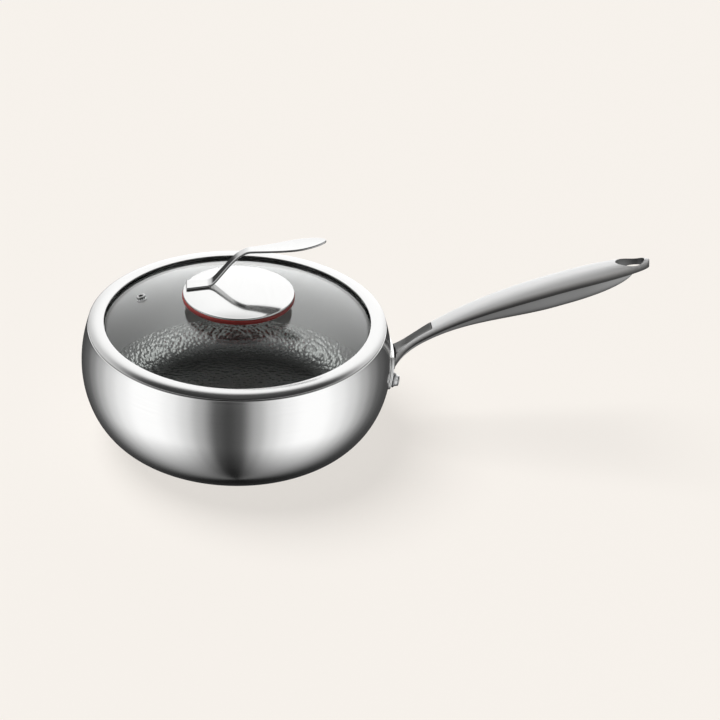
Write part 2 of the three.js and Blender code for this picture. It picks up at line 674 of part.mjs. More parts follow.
function leafLine() {
  const top = plateTop + LEAF_NECK_HEIGHT;
  const bend = 0.18 * LEAF_NECK_RUN;
  const footStart = new THREE.Vector2(-leafFootEnd, footHeight(-leafFootEnd));
  const footStop = new THREE.Vector2(leafBend - bend, footHeight(leafBend - bend));
  const middle = (footStart.x + footStop.x) / 2;
  const swing = 2 * footHeight(middle) - (footStart.y + footStop.y) / 2;
  const slope = (footStop.y - swing) / (footStop.x - middle);
  const corner = footStop.y + slope * bend;
  const rise = (top - corner) / LEAF_NECK_RUN;
  const line = profile(footStart.x, footStart.y);
  line.quadraticCurveTo(middle, swing, footStop.x, footStop.y);
  line.quadraticCurveTo(leafBend, corner, leafBend + bend, corner + bend * rise);
  line.lineTo(leafNeckEnd - bend, top - bend * rise);
  line.quadraticCurveTo(leafNeckEnd, top, leafNeckEnd + 2 * bend, top + 0.05 * LEAF_TIP_RISE);
  line.quadraticCurveTo(
    leafNeckEnd + 0.5 * (LEAF_REACH - leafNeckEnd), top + 0.25 * LEAF_TIP_RISE, LEAF_REACH, top + LEAF_TIP_RISE,
  );
  return line;
}

// Half width along X: a foot drawing in to the neck, then an elliptic leaf.
function leafHalfWidth(x) {
  if (x < leafNeckEnd) {
    const narrow = smooth((x + leafFootEnd) / (leafNeckEnd + leafFootEnd));
    return THREE.MathUtils.lerp(LEAF_FOOT_HALF_WIDTH, LEAF_NECK_HALF_WIDTH, narrow);
  }
  const way = (x - leafNeckEnd) / (LEAF_REACH - leafNeckEnd);
  const swell = THREE.MathUtils.lerp(LEAF_NECK_HALF_WIDTH, LEAF_HALF_WIDTH, smooth(way / 0.75));
  const tip = Math.max(0, (way - 0.6) / 0.4);
  return swell * Math.sqrt(Math.max(0.01, 1 - tip ** 2));
}

function knobLeaf() {
  const points = leafLine().getPoints(LEAF_STEPS);
  const sections = points.map((point, i) => {
    const before = points[Math.max(0, i - 1)];
    const after = points[Math.min(points.length - 1, i + 1)];
    const slope = Math.atan2(after.y - before.y, after.x - before.x);
    const half = leafHalfWidth(point.x);
    const spoon = LEAF_SPOON * smooth((point.x - leafNeckEnd) / LEAF_REACH * 2);
    const ring = [];
    for (const [shares, up] of [[[-1, -0.5, 0, 0.5, 1], 0], [[1, 0.5, 0, -0.5, -1], LEAF_THICKNESS]]) {
      for (const share of shares) {
        const lift = up + spoon * (share ** 2 - 1) * half / LEAF_HALF_WIDTH;
        ring.push(new THREE.Vector3(
          point.x - Math.sin(slope) * lift, LEAF_OFFSET + share * half, point.y + Math.cos(slope) * lift,
        ));
      }
    }
    return ring;
  });
  return lofted(sections);
}

// Threaded boss welded under the plate, standing in the base's bore.
function knobInsert() {
  const bottom = knobBaseBottom - KNOB_BOSS_HEIGHT;
  const tapped = SCREW_RADIUS + SEAM;
  const path = profile(tapped, bottom);
  path.lineTo(INSERT_RADIUS, bottom);
  path.lineTo(INSERT_RADIUS, plateBottom);
  path.lineTo(tapped, plateBottom);
  return turned(path.getPoints(), SMALL_FACETS);
}

const glassUnderside = glassCentre + Math.sqrt((glassSphere - GLASS_THICKNESS) ** 2 - WASHER_RADIUS ** 2);
const gasketTop = glassUnderside - SEAM;
const washerTop = gasketTop - GASKET_THICKNESS;
const screwHeadTop = washerTop - WASHER_THICKNESS;

function flatRing(radius, top, thickness) {
  const bore = SCREW_RADIUS + HOLE_CLEARANCE;
  const path = profile(bore, top - thickness);
  path.lineTo(radius, top - thickness);
  path.lineTo(radius, top);
  path.lineTo(bore, top);
  return turned(path.getPoints(), SMALL_FACETS);
}

function knobScrew() {
  const bottom = screwHeadTop - SCREW_HEAD_HEIGHT;
  const path = profile(0, bottom);
  path.quadraticCurveTo(SCREW_HEAD_RADIUS, bottom, SCREW_HEAD_RADIUS, screwHeadTop);
  path.lineTo(SCREW_RADIUS, screwHeadTop);
  path.lineTo(SCREW_RADIUS, plateBottom - SEAM);
  path.lineTo(0, plateBottom - SEAM);
  return turned(path.getPoints(ROUND_STEPS), SMALL_FACETS);
}

// Assembly

const pot = new THREE.Group();
pot.add(mesh("pot_shell", potShell(), satinSteel));
pot.add(mesh("base_spreader", baseSpreader(), aluminium));
pot.add(mesh("base_cap", baseCap(), satinSteel));
pot.add(mesh("handle_bracket", handleBracket(), satinSteel));
pot.add(mesh("handle_upper_shell", handleUpperShell(), satinSteel));
pot.add(mesh("handle_lower_shell", handleLowerShell(), satinSteel));
for (const [i, name] of ["rivet_front", "rivet_rear"].entries()) {
  const piece = mesh(name, rivet(), darkSteel);
  piece.applyMatrix4(rivetPlaces[i]);
  pot.add(piece);
}

const lid = new THREE.Group();
lid.add(mesh("lid_band", lidBand(), polishedSteel));
lid.add(mesh("lid_glass", lidGlass(), clearGlass));
lid.add(mesh("glass_seal", glassSeal(), darkSilicone));
const vent = mesh("steam_vent", steamVent(), polishedSteel);
vent.applyMatrix4(ventPlace());
lid.add(vent);
lid.add(mesh("knob_base", knobBase(), redBase));
lid.add(mesh("knob_plate", knobPlate(), polishedSteel));
lid.add(mesh("knob_leaf", knobLeaf(), polishedSteel));
lid.add(mesh("knob_insert", knobInsert(), darkSteel));
lid.add(mesh("knob_gasket", flatRing(WASHER_RADIUS, gasketTop, GASKET_THICKNESS), darkSilicone));
lid.add(mesh("knob_washer", flatRing(WASHER_RADIUS, washerTop, WASHER_THICKNESS), darkSteel));
lid.add(mesh("knob_screw", knobScrew(), darkSteel));

const saucepan = new THREE.Group();
saucepan.add(pot, lid);

export default saucepan;
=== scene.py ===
"""Saucepan with a glass lid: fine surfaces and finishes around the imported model."""
import math

import bpy
import numpy as np
from bpy.props import FloatProperty, FloatVectorProperty, IntProperty, PointerProperty
from mathutils import Matrix, Vector


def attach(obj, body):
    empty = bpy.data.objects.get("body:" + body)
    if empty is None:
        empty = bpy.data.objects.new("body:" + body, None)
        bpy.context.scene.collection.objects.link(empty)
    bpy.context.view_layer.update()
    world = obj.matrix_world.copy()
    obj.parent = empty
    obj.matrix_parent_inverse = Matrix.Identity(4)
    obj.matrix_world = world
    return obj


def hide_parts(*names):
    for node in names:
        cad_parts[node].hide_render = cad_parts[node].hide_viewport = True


bl_info = {
    "name": "Saucepan with glass lid",
    "version": (1, 0, 0),
    "blender": (4, 5, 0),
    "location": "3D View > Sidebar > Saucepan",
    "description": "Builds the surfaces, finishes and stage of a round-bellied saucepan",
    "category": "Add Mesh",
}

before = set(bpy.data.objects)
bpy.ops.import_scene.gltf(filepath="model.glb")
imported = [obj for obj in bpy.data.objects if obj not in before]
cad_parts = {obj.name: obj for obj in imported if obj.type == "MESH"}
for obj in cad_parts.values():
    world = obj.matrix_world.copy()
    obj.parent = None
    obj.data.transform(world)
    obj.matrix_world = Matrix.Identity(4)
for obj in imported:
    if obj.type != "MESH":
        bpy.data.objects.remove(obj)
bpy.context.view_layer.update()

MM = 0.001
TURN = 2.0 * math.pi
SURFACE_MAP = "surface"


def length(name, millimetres, description):
    """A length property, kept in metres, with its default given in millimetres."""
    return FloatProperty(
        name=name, description=description, default=millimetres * MM, min=0.0, unit="LENGTH", precision=5
    )


def angle(name, degrees, description):
    """An angle property, kept in radians, with its default given in degrees."""
    return FloatProperty(
        name=name, description=description, default=math.radians(degrees), unit="ROTATION"
    )


def share(name, value, description):
    """A property between 0 and 1."""
    return FloatProperty(
        name=name, description=description, default=value, min=0.0, max=1.0, subtype="FACTOR"
    )


def colour(name, value, description):
    """A linear colour property."""
    return FloatVectorProperty(
        name=name, description=description, default=value, size=3, min=0.0, max=1.0, subtype="COLOR"
    )


class PotSizes(bpy.types.PropertyGroup):
    """Sizes of the vessel and its bonded base."""

    belly_radius: length("Belly radius", 104.2, "Outer radius at the widest ring")
    belly_height: length("Belly height", 53, "Height of the widest ring over the worktop")
    floor_radius: length("Floor radius", 74, "Radius of the flat floor")
    base_thickness: length("Base thickness", 5, "Height of the floor's underside over the worktop")
    rim_height: length("Rim height", 82.6, "Height of the ledge that the lid sits on")
    wall: length("Wall", 1.5, "Thickness of the wall")
    shoulder_setback: length("Shoulder setback", 5, "How far the shoulder draws in from the belly")
    shoulder_round: length("Shoulder round", 0.6, "Rounding between wall and ledge")
    ledge_width: length("Ledge width", 5.6, "Width of the flat ledge")
    spreader_radius: length("Spreader radius", 69, "Radius of the aluminium layer")
    cap_thickness: length("Cap thickness", 1.2, "Sheet thickness of the base cap")
    hammer_pitch: length("Hammer pitch", 4.2, "Distance between the hammer marks inside")
    hammer_depth: length("Hammer depth", 0.06, "Depth of one hammer mark")
    hammer_reach: length("Hammer reach", 108, "Distance of the last marks from the middle, along the bowl")


class BracketSizes(bpy.types.PropertyGroup):
    """Sizes of the saddle on the wall and its two rivets."""

    sheet: length("Sheet", 1.6, "Thickness of the saddle")
    half_width: length("Half width", 21, "Half the width of the saddle")
    below_belly: length("Below belly", 16.5, "Lower edge under the widest ring")
    above_belly: length("Above belly", 9, "Upper edge over the widest ring")
    corner: length("Corner", 6, "Corner radius of the saddle")
    pad_depth: length("Pad depth", 2, "How far the pad stands out from the belly")
    pad_margin: length("Pad margin", 1.2, "Width of the pad's flank round the handle's root")
    rivet_spacing: length("Rivet spacing", 31, "Distance between the two rivets")
    rivet_below_belly: length("Rivet below belly", 9, "Rivets under the widest ring")
    rivet_shank: length("Rivet shank", 2.9, "Radius of the shank")
    rivet_head: length("Rivet head", 5.2, "Radius of the head")
    rivet_height: length("Rivet height", 4.5, "Height of the outer head")


class HandleSizes(bpy.types.PropertyGroup):
    """Sizes of the two-piece hollow handle."""

    reach: length("Reach", 168.7, "Horizontal run from root to tip")
    rise: length("Rise", 71.4, "Height gained from root to tip")
    root_above_belly: length("Root above belly", 4, "Top of the root over the widest ring")
    root_half_width: length("Root half width", 10.5, "Half the width at the wall")
    root_side: length("Root side", 5, "Height of the side band at the wall")
    root_belly: length("Root belly", 2.8, "Depth of the lower shell at the wall")
    neck_from_root: length("Neck from root", 20, "Distance of the narrowest place from the wall")
    neck_half_width: length("Neck half width", 6.2, "Half the width at the neck")
    neck_side: length("Neck side", 2.4, "Height of the side band at the neck")
    neck_belly: length("Neck belly", 3, "Depth of the lower shell at the neck")
    grip_from_root: length("Grip from root", 117, "Distance of the fullest place from the wall")
    grip_half_width: length("Grip half width", 10.4, "Half the width at the grip")
    grip_side: length("Grip side", 4.8, "Height of the side band at the grip")
    grip_belly: length("Grip belly", 13, "Depth of the lower shell at the grip")
    crown: length("Crown", 3, "Height of the crowned top")
    taper_length: length("Taper length", 48, "Length of the rounded end in plan")
    belly_tail: length("Belly tail", 49, "Length over which the belly runs out")
    belly_from_tip: length("Belly from tip", 14, "End of the lower shell before the tip")
    belly_inset: length("Belly inset", 0.4, "Step between upper and lower shell")
    scoop_depth: length("Scoop depth", 2.2, "Depth of the scooped neck")
    scoop_rim: length("Scoop rim", 1.8, "Width of the rims beside the scoop")
    scoop_length: length("Scoop length", 31, "Length of the scooped neck")
    hole_length: length("Hole length", 19, "Length of the hanging hole")
    hole_width: length("Hole width", 10.6, "Width of the hanging hole")
    hole_from_tip: length("Hole from tip", 3.8, "Distance of the hanging hole from the tip")
    hole_round: length("Hole round", 0.7, "Rounding of the hanging hole's edge")


class LidSizes(bpy.types.PropertyGroup):
    """Sizes of the steel band, the glass and its vent."""

    clearance: length("Clearance", 0.6, "Gap between the locating lip and the mouth")
    sheet: length("Sheet", 1.1, "Sheet thickness of the band")
    ring_setback: length("Ring setback", 0.4, "How far the ring stays inside the shoulder")
    ring_height: length("Ring height", 2, "Height of the ring's inner edge over the ledge")
    ring_edge: length("Ring edge", 0.5, "Height and rounding of the ring's outer edge")
    crown: length("Crown", 0.7, "Pull of the ring's crown over its inner edge")
    lip: length("Locating lip", 6.3, "Depth of the lip in the mouth")
    glass: length("Glass", 3.5, "Thickness of the glass")
    rise: length("Rise", 14.4, "Height of the dome")
    drop: length("Drop", 2.3, "Edge of the glass under the ring's top")
    overlap: length("Overlap", 2.4, "How far the ring reaches over the glass")
    glass_clearance: length("Glass clearance", 0.5, "Gap round the glass")
    vent_from_edge: length("Vent from edge", 22.8, "Distance of the vent from the glass edge")
    vent_bearing: angle("Vent bearing", 162.5, "Direction of the vent from the handle")
    vent_bore: length("Vent bore", 3, "Bore of the vent")
    vent_wall: length("Vent wall", 0.6, "Sheet thickness of the vent")
    vent_flange: length("Vent flange", 1.2, "Width of the vent's rolled flange")


class KnobSizes(bpy.types.PropertyGroup):
    """Sizes of the knob and what holds it to the glass."""

    radius: length("Radius", 36.6, "Radius of the polished plate")
    plate: length("Plate", 1.2, "Thickness of the plate")
    crown: length("Crown", 2.5, "Height of the plate's dome")
    base: length("Base", 3.1, "Thickness of the red base")
    base_proud: length("Base proud", 0.5, "How far the base stands out past the plate")
    boss_radius: length("Boss radius", 16, "Radius of the foot on the glass")
    boss_height: length("Boss height", 2.3, "Height of the foot on the glass")
    leaf_offset: length("Leaf offset", 6.6, "Distance of the strip from the middle")
    leaf_thickness: length("Leaf thickness", 1.5, "Thickness of the strip")
    foot_length: length("Foot length", 17, "Length of the strip's foot on the plate")
    foot_half_width: length("Foot half width", 6, "Half the width of the foot")
    neck_half_width: length("Neck half width", 3.8, "Half the width of the neck")
    leaf_half_width: length("Leaf half width", 8.2, "Half the width of the leaf")
    neck_height: length("Neck height", 26, "Height of the neck")
    neck_run: length("Neck run", 19, "Horizontal run of the neck")
    reach: length("Reach", 57, "Distance of the leaf's tip from the middle")
    tip_rise: length("Tip rise", 7.5, "Rise of the leaf to its tip")
    spoon: length("Spoon", 0.3, "Hollow across the leaf")
    insert_radius: length("Insert radius", 4.6, "Radius of the threaded boss")
    screw_radius: length("Screw radius", 2.4, "Radius of the screw's shank")
    screw_head: length("Screw head", 4.6, "Radius of the screw's head")
    screw_head_height: length("Screw head height", 2.8, "Height of the screw's head")
    washer_radius: length("Washer radius", 8.5, "Radius of washer and gasket")
    washer: length("Washer", 1, "Thickness of the washer")
    gasket: length("Gasket", 1.5, "Thickness of the gasket")


class Finishes(bpy.types.PropertyGroup):
    """Colours and gloss of the materials."""

    satin: colour("Satin steel", (0.9, 0.9, 0.895), "Brushed steel of pot, bracket and lower shell")
    satin_roughness: share("Satin roughness", 0.15, "Roughness of the brushed steel")
    handle: colour("Handle steel", (0.68, 0.68, 0.678), "Brushed steel of the handle's upper shell")
    handle_roughness: share("Handle roughness", 0.42, "Roughness of the handle's upper shell")
    inner: colour("Inner wall", (0.58, 0.58, 0.577), "Blasted steel of the wall inside the pot")
    inner_roughness: share("Inner roughness", 0.34, "Roughness of the wall inside the pot")
    polished: colour("Polished steel", (0.53, 0.53, 0.526), "Mirror steel of band, plate and leaf")
    hammered: colour("Hammered steel", (0.62, 0.62, 0.614), "Hammered mirror steel of the bowl")
    fastener: colour("Fastener steel", (0.62, 0.62, 0.62), "Turned steel of rivets and screw")
    aluminium: colour("Aluminium", (0.8, 0.8, 0.81), "Rolled aluminium of the spreader")
    glass: colour("Glass", (0.93, 0.955, 0.94), "Tint of the lid glass")
    red: colour("Red silicone", (0.28, 0.024, 0.02), "Base under the knob's plate")
    dark: colour("Dark silicone", (0.085, 0.085, 0.086), "Seal and gasket")


class StageSettings(bpy.types.PropertyGroup):
    """Camera, light and floor."""

    floor: colour("Floor", (0.93, 0.888, 0.838), "Colour of floor and background")
    heading: angle("Heading", 8, "Turn of the camera round the pot")
    elevation: angle("Elevation", 31.61, "Height of the camera over the horizon")
    roll: angle("Roll", -3.81, "Tilt of the camera about its axis")
    distance: length("Distance", 911.2, "Distance of the camera along its axis")
    aim_right: length("Aim right", 85.73, "Offset of the camera to its right")
    aim_up: length("Aim up", 43.09, "Offset of the camera upwards")
    lens: FloatProperty(
        name="Lens", description="Focal length on 36 mm film", default=65.0, min=1.0, unit="CAMERA"
    )
    lamp: FloatProperty(name="Lamp", description="Strength of the soft lamp", default=3.0, min=0.0)
    ceiling: angle("Ceiling", 41, "Half angle of the dark ceiling")
    ceiling_tilt: angle("Ceiling tilt", 2, "Lean of the dark ceiling to the back")
    facets: IntProperty(name="Facets", description="Segments round the wide pieces", default=384, min=48)


GROUPS = {
    "pot_sizes": PotSizes,
    "bracket_sizes": BracketSizes,
    "handle_sizes": HandleSizes,
    "lid_sizes": LidSizes,
    "knob_sizes": KnobSizes,
    "finishes": Finishes,
    "stage_settings": StageSettings,
}

SEAM = 0.3 * MM
HOLE_CLEARANCE = 0.4 * MM
SMALL_FACETS = 64
KNOB_FACETS = 192
GLASS_FACETS = 256
HOLE_FACETS = 128
EDGE = 0.25 * MM
SHARP_EDGE = math.radians(40)

# Corners of a profile: longest share of a side that a round takes, and where its flat begins
ROUND_SHARE = 0.33
FLAT_START = 1.4

# Brush lines to the metre across the brushing, and their streaks along it or round the pot
BRUSH_ACROSS = 2400.0
BRUSH_ALONG = 26.0
BRUSH_ROUND = 22.0
WIPE_STRETCH = (300.0, 60.0, 60.0)

# Handle's upper shell: painted shade on its flanks, as the share of colour kept there and the heights of the
# normal between which it darkens, and the share of light that its grain doesn't scatter
FLANK_SHADE_KEEPS = 0.1
FLANK_SHADE_FROM = 0.1
FLANK_SHADE_TO = 0.65
GRAIN_MIRRORS = 0.35

# How dark the darkened copies are against their steel: painted shade on the handle's lower shell and scoop,
# painted shade in the hanging hole, and a darker vent
HANDLE_SHADE_TINT = 0.42
BORE_SHADE_TINT = 0.35
VENT_TINT = 0.6

# Saddle: rays round it, rows of points on its front and round its edge, rounding of its pad
SADDLE_RAYS = 240
FRONT_ROWS = 46
EDGE_ROWS = 6
PAD_CORNER = 2 * MM

# Cross recess of the screw
RECESS_HALF_WIDTH = 0.5 * MM
RECESS_REACH = 2.2 * MM
RECESS_DEPTH = 1.3 * MM
RECESS_FADE = 0.12 * MM

# Stage
FLOOR_HALF = 6.0
FLOOR_LEVEL = -0.2 * MM
FLOOR_GLOW = 0.72
LAMP_SPREAD = math.radians(40)
LAMP_WAY = (0.45, -0.28, -1.0)
FILM_WIDTH = 36.0
BACKDROP_GAIN = 1.8
BACKDROP_DROP = 0.43
FRONT_GAP = 0.3
CEILING_GREY = 0.06
CEILING_SOFTNESS = 0.09
DIFFUSE_SHARE = 0.22


class Levels:
    """Radii and heights that several pieces share, worked out from the sizes in the sidebar."""

    def __init__(self, scene):
        pot, lid, knob = scene.pot_sizes, scene.lid_sizes, scene.knob_sizes
        bracket, handle = scene.bracket_sizes, scene.handle_sizes
        self.shoulder_radius = pot.belly_radius - pot.shoulder_setback
        self.shoulder_height = pot.rim_height - pot.shoulder_round
        self.ledge_radius = self.shoulder_radius - pot.shoulder_round
        self.mouth_radius = self.ledge_radius - pot.ledge_width
        self.lip_radius = self.mouth_radius - lid.clearance
        self.groove_radius = self.lip_radius - lid.sheet
        self.glass_radius = self.groove_radius - lid.glass_clearance
        self.ring_inner = self.glass_radius - lid.overlap
        self.ring_outer = self.shoulder_radius - lid.ring_setback
        self.seat = pot.rim_height + SEAM
        self.ring_top = self.seat + lid.ring_height
        self.glass_crown = self.ring_top - lid.drop + lid.rise
        self.sphere = (self.ring_inner ** 2 + lid.rise ** 2) / (2 * lid.rise)
        self.glass_centre = self.glass_crown - self.sphere
        self.knob_bottom = self.glass_crown + SEAM + knob.boss_height
        self.plate_bottom = self.knob_bottom + knob.base
        self.plate_top = self.plate_bottom + knob.plate
        self.root_height = pot.belly_height + handle.root_above_belly
        self.pad_face = pot.belly_radius + SEAM + bracket.pad_depth
        inner = self.sphere - lid.glass
        underside = self.glass_centre + math.sqrt(inner ** 2 - knob.washer_radius ** 2)
        self.gasket_top = underside - SEAM
        self.washer_top = self.gasket_top - knob.gasket
        self.screw_top = self.washer_top - knob.washer

    def glass_top(self, radius):
        """Height of the dome's top at a radius."""
        return self.glass_centre + math.sqrt(self.sphere ** 2 - radius ** 2)


def wall_radius(scene, height):
    """Outer radius of the belly: an elliptic quarter below the widest ring, a parabola above it."""
    pot, levels = scene.pot_sizes, Levels(scene)
    down = (pot.belly_height - height) / (pot.belly_height - pot.base_thickness)
    low = pot.floor_radius + (pot.belly_radius - pot.floor_radius) * np.sqrt(np.clip(1 - down ** 2, 0, 1))
    rise = (height - pot.belly_height) / (levels.shoulder_height - pot.belly_height)
    return np.where(height < pot.belly_height, low, pot.belly_radius - pot.shoulder_setback * rise ** 2)


# Curves and profiles


def smooth(x):
    """Smoothstep: 3x^2 - 2x^3 between 0 and 1."""
    x = np.clip(x, 0, 1)
    return x * x * (3 - 2 * x)


def lerp(a, b, t):
    return a + (b - a) * t


def quad(start, pull, end, steps):
    """Points of a quadratic Bezier curve: (1-t)^2 start + 2t(1-t) pull + t^2 end."""
    t = np.linspace(0, 1, steps + 1)[:, None]
    start, pull, end = (np.asarray(p, float) for p in (start, pull, end))
    return (1 - t) ** 2 * start + 2 * t * (1 - t) * pull + t ** 2 * end


def ellipse(centre, radii, start, stop, steps):
    """Points of an elliptic arc: centre + (a cos t, b sin t), angles in degrees."""
    t = np.radians(np.linspace(start, stop, steps + 1))
    return np.asarray(centre) + np.stack([radii[0] * np.cos(t), radii[1] * np.sin(t)], axis=-1)


def line(start, end, steps):
    return np.linspace(np.asarray(start, float), np.asarray(end, float), steps + 1)


def without_doubles(points):
    """Drops points that repeat the one before them."""
    step = np.linalg.norm(np.diff(points, axis=0), axis=1)
    return points[np.concatenate([[True], step > 1e-7])]


def rounded(points, radius=EDGE, closed=True, steps=4):
    """Rounds each corner of a polygon: a quadratic curve from one side to the next, pulled to the
    corner, with one more point on each side so that the flat faces keep their shading."""
    points = np.asarray(points, float)
    before = np.roll(points, 1, axis=0) - points
    after = np.roll(points, -1, axis=0) - points
    lengths = [np.linalg.norm(side, axis=1, keepdims=True) for side in (before, after)]
    reach = np.minimum(radius, ROUND_SHARE * np.minimum(*lengths))
    before = before / lengths[0]
    after = after / lengths[1]
    t = np.linspace(0, 1, steps + 1)[:, None, None]
    start = points + reach * before
    end = points + reach * after
    curve = (1 - t) ** 2 * start + 2 * t * (1 - t) * points + t ** 2 * end
    flats = [(points + FLAT_START * reach * side)[None] for side in (before, after)]
    path = np.concatenate([flats[0], curve, flats[1]]).transpose(1, 0, 2)
    if closed:
        return without_doubles(path.reshape(-1, 2))
    return without_doubles(np.concatenate([points[:1], path[1:-1].reshape(-1, 2), points[-1:]]))


# Meshes


def skin(name, rows, uv, closed=False, poles=(None, None), zones=None):
    """Joins a grid of points into one skin. Rows follow the profile or the path, columns run round
    and always meet; closed joins the last row to the first, and a pole closes an end with a fan."""
    count, across = rows.shape[:2]
    bands = count if closed else count - 1
    i, j = np.meshgrid(np.arange(bands), np.arange(across), indexing="ij")
    right, below = (j + 1) % across, (i + 1) % count
    quads = np.stack([
        i * across + j, i * across + right, below * across + right, below * across + j,
    ], axis=-1)
    corner_uv = [np.stack([uv[i, j], uv[i, j + 1], uv[i + 1, j + 1], uv[i + 1, j]], axis=-2).reshape(-1, 2)]
    points = [rows.reshape(-1, 3)]
    faces = quads.reshape(-1, 4).tolist()
    zone = np.repeat(np.zeros(bands, int) if zones is None else np.asarray(zones), across).tolist()
    k = np.arange(across)
    tip = count * across
    for pole, row, at_start in ((poles[0], 0, True), (poles[1], count - 1, False)):
        if pole is None:
            continue
        a, b = row * across + k, row * across + (k + 1) % across
        ends = np.full(across, tip)
        faces += np.stack([b, a, ends] if at_start else [a, b, ends], axis=-1).tolist()
        left_uv, right_uv = uv[row, :-1], uv[row, 1:]
        middle_uv = (left_uv + right_uv) / 2
        order = [right_uv, left_uv, middle_uv] if at_start else [left_uv, right_uv, middle_uv]
        corner_uv.append(np.stack(order, axis=-2).reshape(-1, 2))
        points.append(np.asarray(pole, float).reshape(1, 3))
        zone += [zone[0] if at_start else zone[-1]] * across
        tip += 1
    mesh = bpy.data.meshes.new(name)
    mesh.from_pydata(np.concatenate(points), [], faces)
    layer = mesh.uv_layers.new(name=SURFACE_MAP)
    layer.data.foreach_set("uv", np.concatenate(corner_uv).astype(np.float32).ravel())
    mesh.polygons.foreach_set("material_index", np.asarray(zone, np.int32))
    mesh.shade_smooth()
    mesh.update()
    piece = bpy.data.objects.new(name, mesh)
    bpy.context.scene.collection.objects.link(piece)
    return piece


def moved(points, place):
    """Points carried by a 4x4 matrix."""
    matrix = np.array(place)
    return points @ matrix[:3, :3].T + matrix[:3, 3]


def turned(name, profile, facets, place=None, dents=None, zones=None):
    """A profile of (radius, height) points turned round the Z axis: x = r cos a, y = r sin a, z = h.
    A profile that starts or ends on the axis closes in a pole, any other closes on itself. Dents
    push each point along the profile's normal. The surface map holds turn share and arc length."""
    profile = without_doubles(np.asarray(profile, float))
    on_axis = [profile[0, 0] < 1e-9, profile[-1, 0] < 1e-9]
    closed = not any(on_axis)
    if closed and np.linalg.norm(profile[0] - profile[-1]) < 1e-7:
        profile = profile[:-1]
    bearing = np.linspace(0, TURN, facets, endpoint=False)
    loop = np.concatenate([profile, profile[:1]]) if closed else profile
    arc = np.concatenate([[0], np.cumsum(np.linalg.norm(np.diff(loop, axis=0), axis=1))])
    body = profile[1 if on_axis[0] else 0:len(profile) - (1 if on_axis[1] else 0)]
    body_arc = arc[1 if on_axis[0] else 0:len(arc) - (1 if on_axis[1] else 0)]
    radius = np.repeat(body[:, :1], facets, axis=1)
    height = np.repeat(body[:, 1:], facets, axis=1)
    if dents is not None:
        slope = np.gradient(body, axis=0)
        slope = slope / np.linalg.norm(slope, axis=1, keepdims=True)
        push = dents(body, bearing)
        radius = radius + push * slope[:, 1:]
        height = height - push * slope[:, :1]
    rows = np.stack([radius * np.cos(bearing), radius * np.sin(bearing), height], axis=-1)
    around = np.linspace(0, 1, facets + 1)
    uv = np.stack(np.meshgrid(around, body_arc), axis=-1)
    poles = [np.array([0, 0, profile[end, 1]]) if on_axis[end] else None for end in (0, -1)]
    if place is not None:
        rows = moved(rows, place)
        poles = [None if pole is None else moved(pole, place) for pole in poles]
    return skin(name, rows, uv, closed=closed, poles=poles, zones=zones)


def lofted(name, rows):
    """Skins a row of rings and closes both ends at the middle of the end rings. The surface map
    holds the arc round the ring and the distance along it."""
    loop = np.concatenate([rows, rows[:, :1]], axis=1)
    round_arc = np.cumsum(np.linalg.norm(np.diff(loop, axis=1), axis=2), axis=1)
    round_arc = np.concatenate([np.zeros((len(rows), 1)), round_arc], axis=1)
    middle = rows.mean(axis=1)
    along = np.concatenate([[0], np.cumsum(np.linalg.norm(np.diff(middle, axis=0), axis=1))])
    uv = np.stack([round_arc, np.repeat(along[:, None], loop.shape[1], axis=1)], axis=-1)
    return skin(name, rows, uv, poles=(middle[0], middle[-1]))


def cut(piece, cutter):
    """Takes the cutter out of a piece and deletes the cutter."""
    step = piece.modifiers.new("cut", "BOOLEAN")
    step.operation = "DIFFERENCE"
    step.solver = "EXACT"
    step.object = cutter
    graph = bpy.context.evaluated_depsgraph_get()
    result = bpy.data.meshes.new_from_object(piece.evaluated_get(graph))
    if not result.polygons:
        raise RuntimeError(f"cutting {piece.name} left nothing")
    piece.modifiers.clear()
    old = piece.data
    piece.data = result
    result.name = old.name
    bpy.data.meshes.remove(old)
    bpy.data.objects.remove(cutter)
    result.shade_smooth()
    result.set_sharp_from_angle(angle=SHARP_EDGE)
    return piece


def finish_piece(piece, body, node, slot, *materials):
    """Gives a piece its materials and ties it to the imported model."""
    for material in materials:
        piece.data.materials.append(material)
    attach(piece, body)
    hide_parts(node)
    return piece


# Materials


class Nodes:
    """Short way to add nodes to a tree and link them."""

    def __init__(self, tree):
        self.tree = tree
        tree.nodes.clear()

    def add(self, kind, inputs=None, **settings):
        node = self.tree.nodes.new("ShaderNode" + kind)
        for key, value in settings.items():
            setattr(node, key, value)
        for key, value in (inputs or {}).items():
            if isinstance(value, bpy.types.NodeSocket):
                self.tree.links.new(value, node.inputs[key])
            else:
                node.inputs[key].default_value = value
        return node

    def math(self, operation, a, b=0.0):
        return self.add("Math", {0: a, 1: b}, operation=operation).outputs[0]

    def spread(self, value, low, high, start=0.0, stop=1.0, kind="LINEAR"):
        """Maps start..stop to low..high."""
        node = self.add("MapRange", {0: value, 1: start, 2: stop, 3: low, 4: high}, interpolation_type=kind)
        return node.outputs[0]

    def noise(self, vector, scale, detail=3.0, roughness=0.55):
        inputs = {"Vector": vector, "Scale": scale, "Detail": detail, "Roughness": roughness}
        return self.add("TexNoise", inputs).outputs["Fac"]

    def between(self, value, dark, light):
        """Mixes two colours by a value."""
        node = self.add("Mix", data_type="RGBA")
        self.tree.links.new(value, node.inputs[0])
        node.inputs[6].default_value = (*dark, 1)
        node.inputs[7].default_value = (*light, 1)
        return node.outputs[2]


def material(name):
    """A material by name, and the nodes to build it with when it is new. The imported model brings
    materials named after its slots, so the names here differ from them."""
    made = bpy.data.materials.get(name)
    if made:
        return made, None
    made = bpy.data.materials.new(name)
    made.use_nodes = True
    return made, Nodes(made.node_tree)


def tinted(value, factor):
    return tuple(min(1.0, channel * factor) for channel in value)


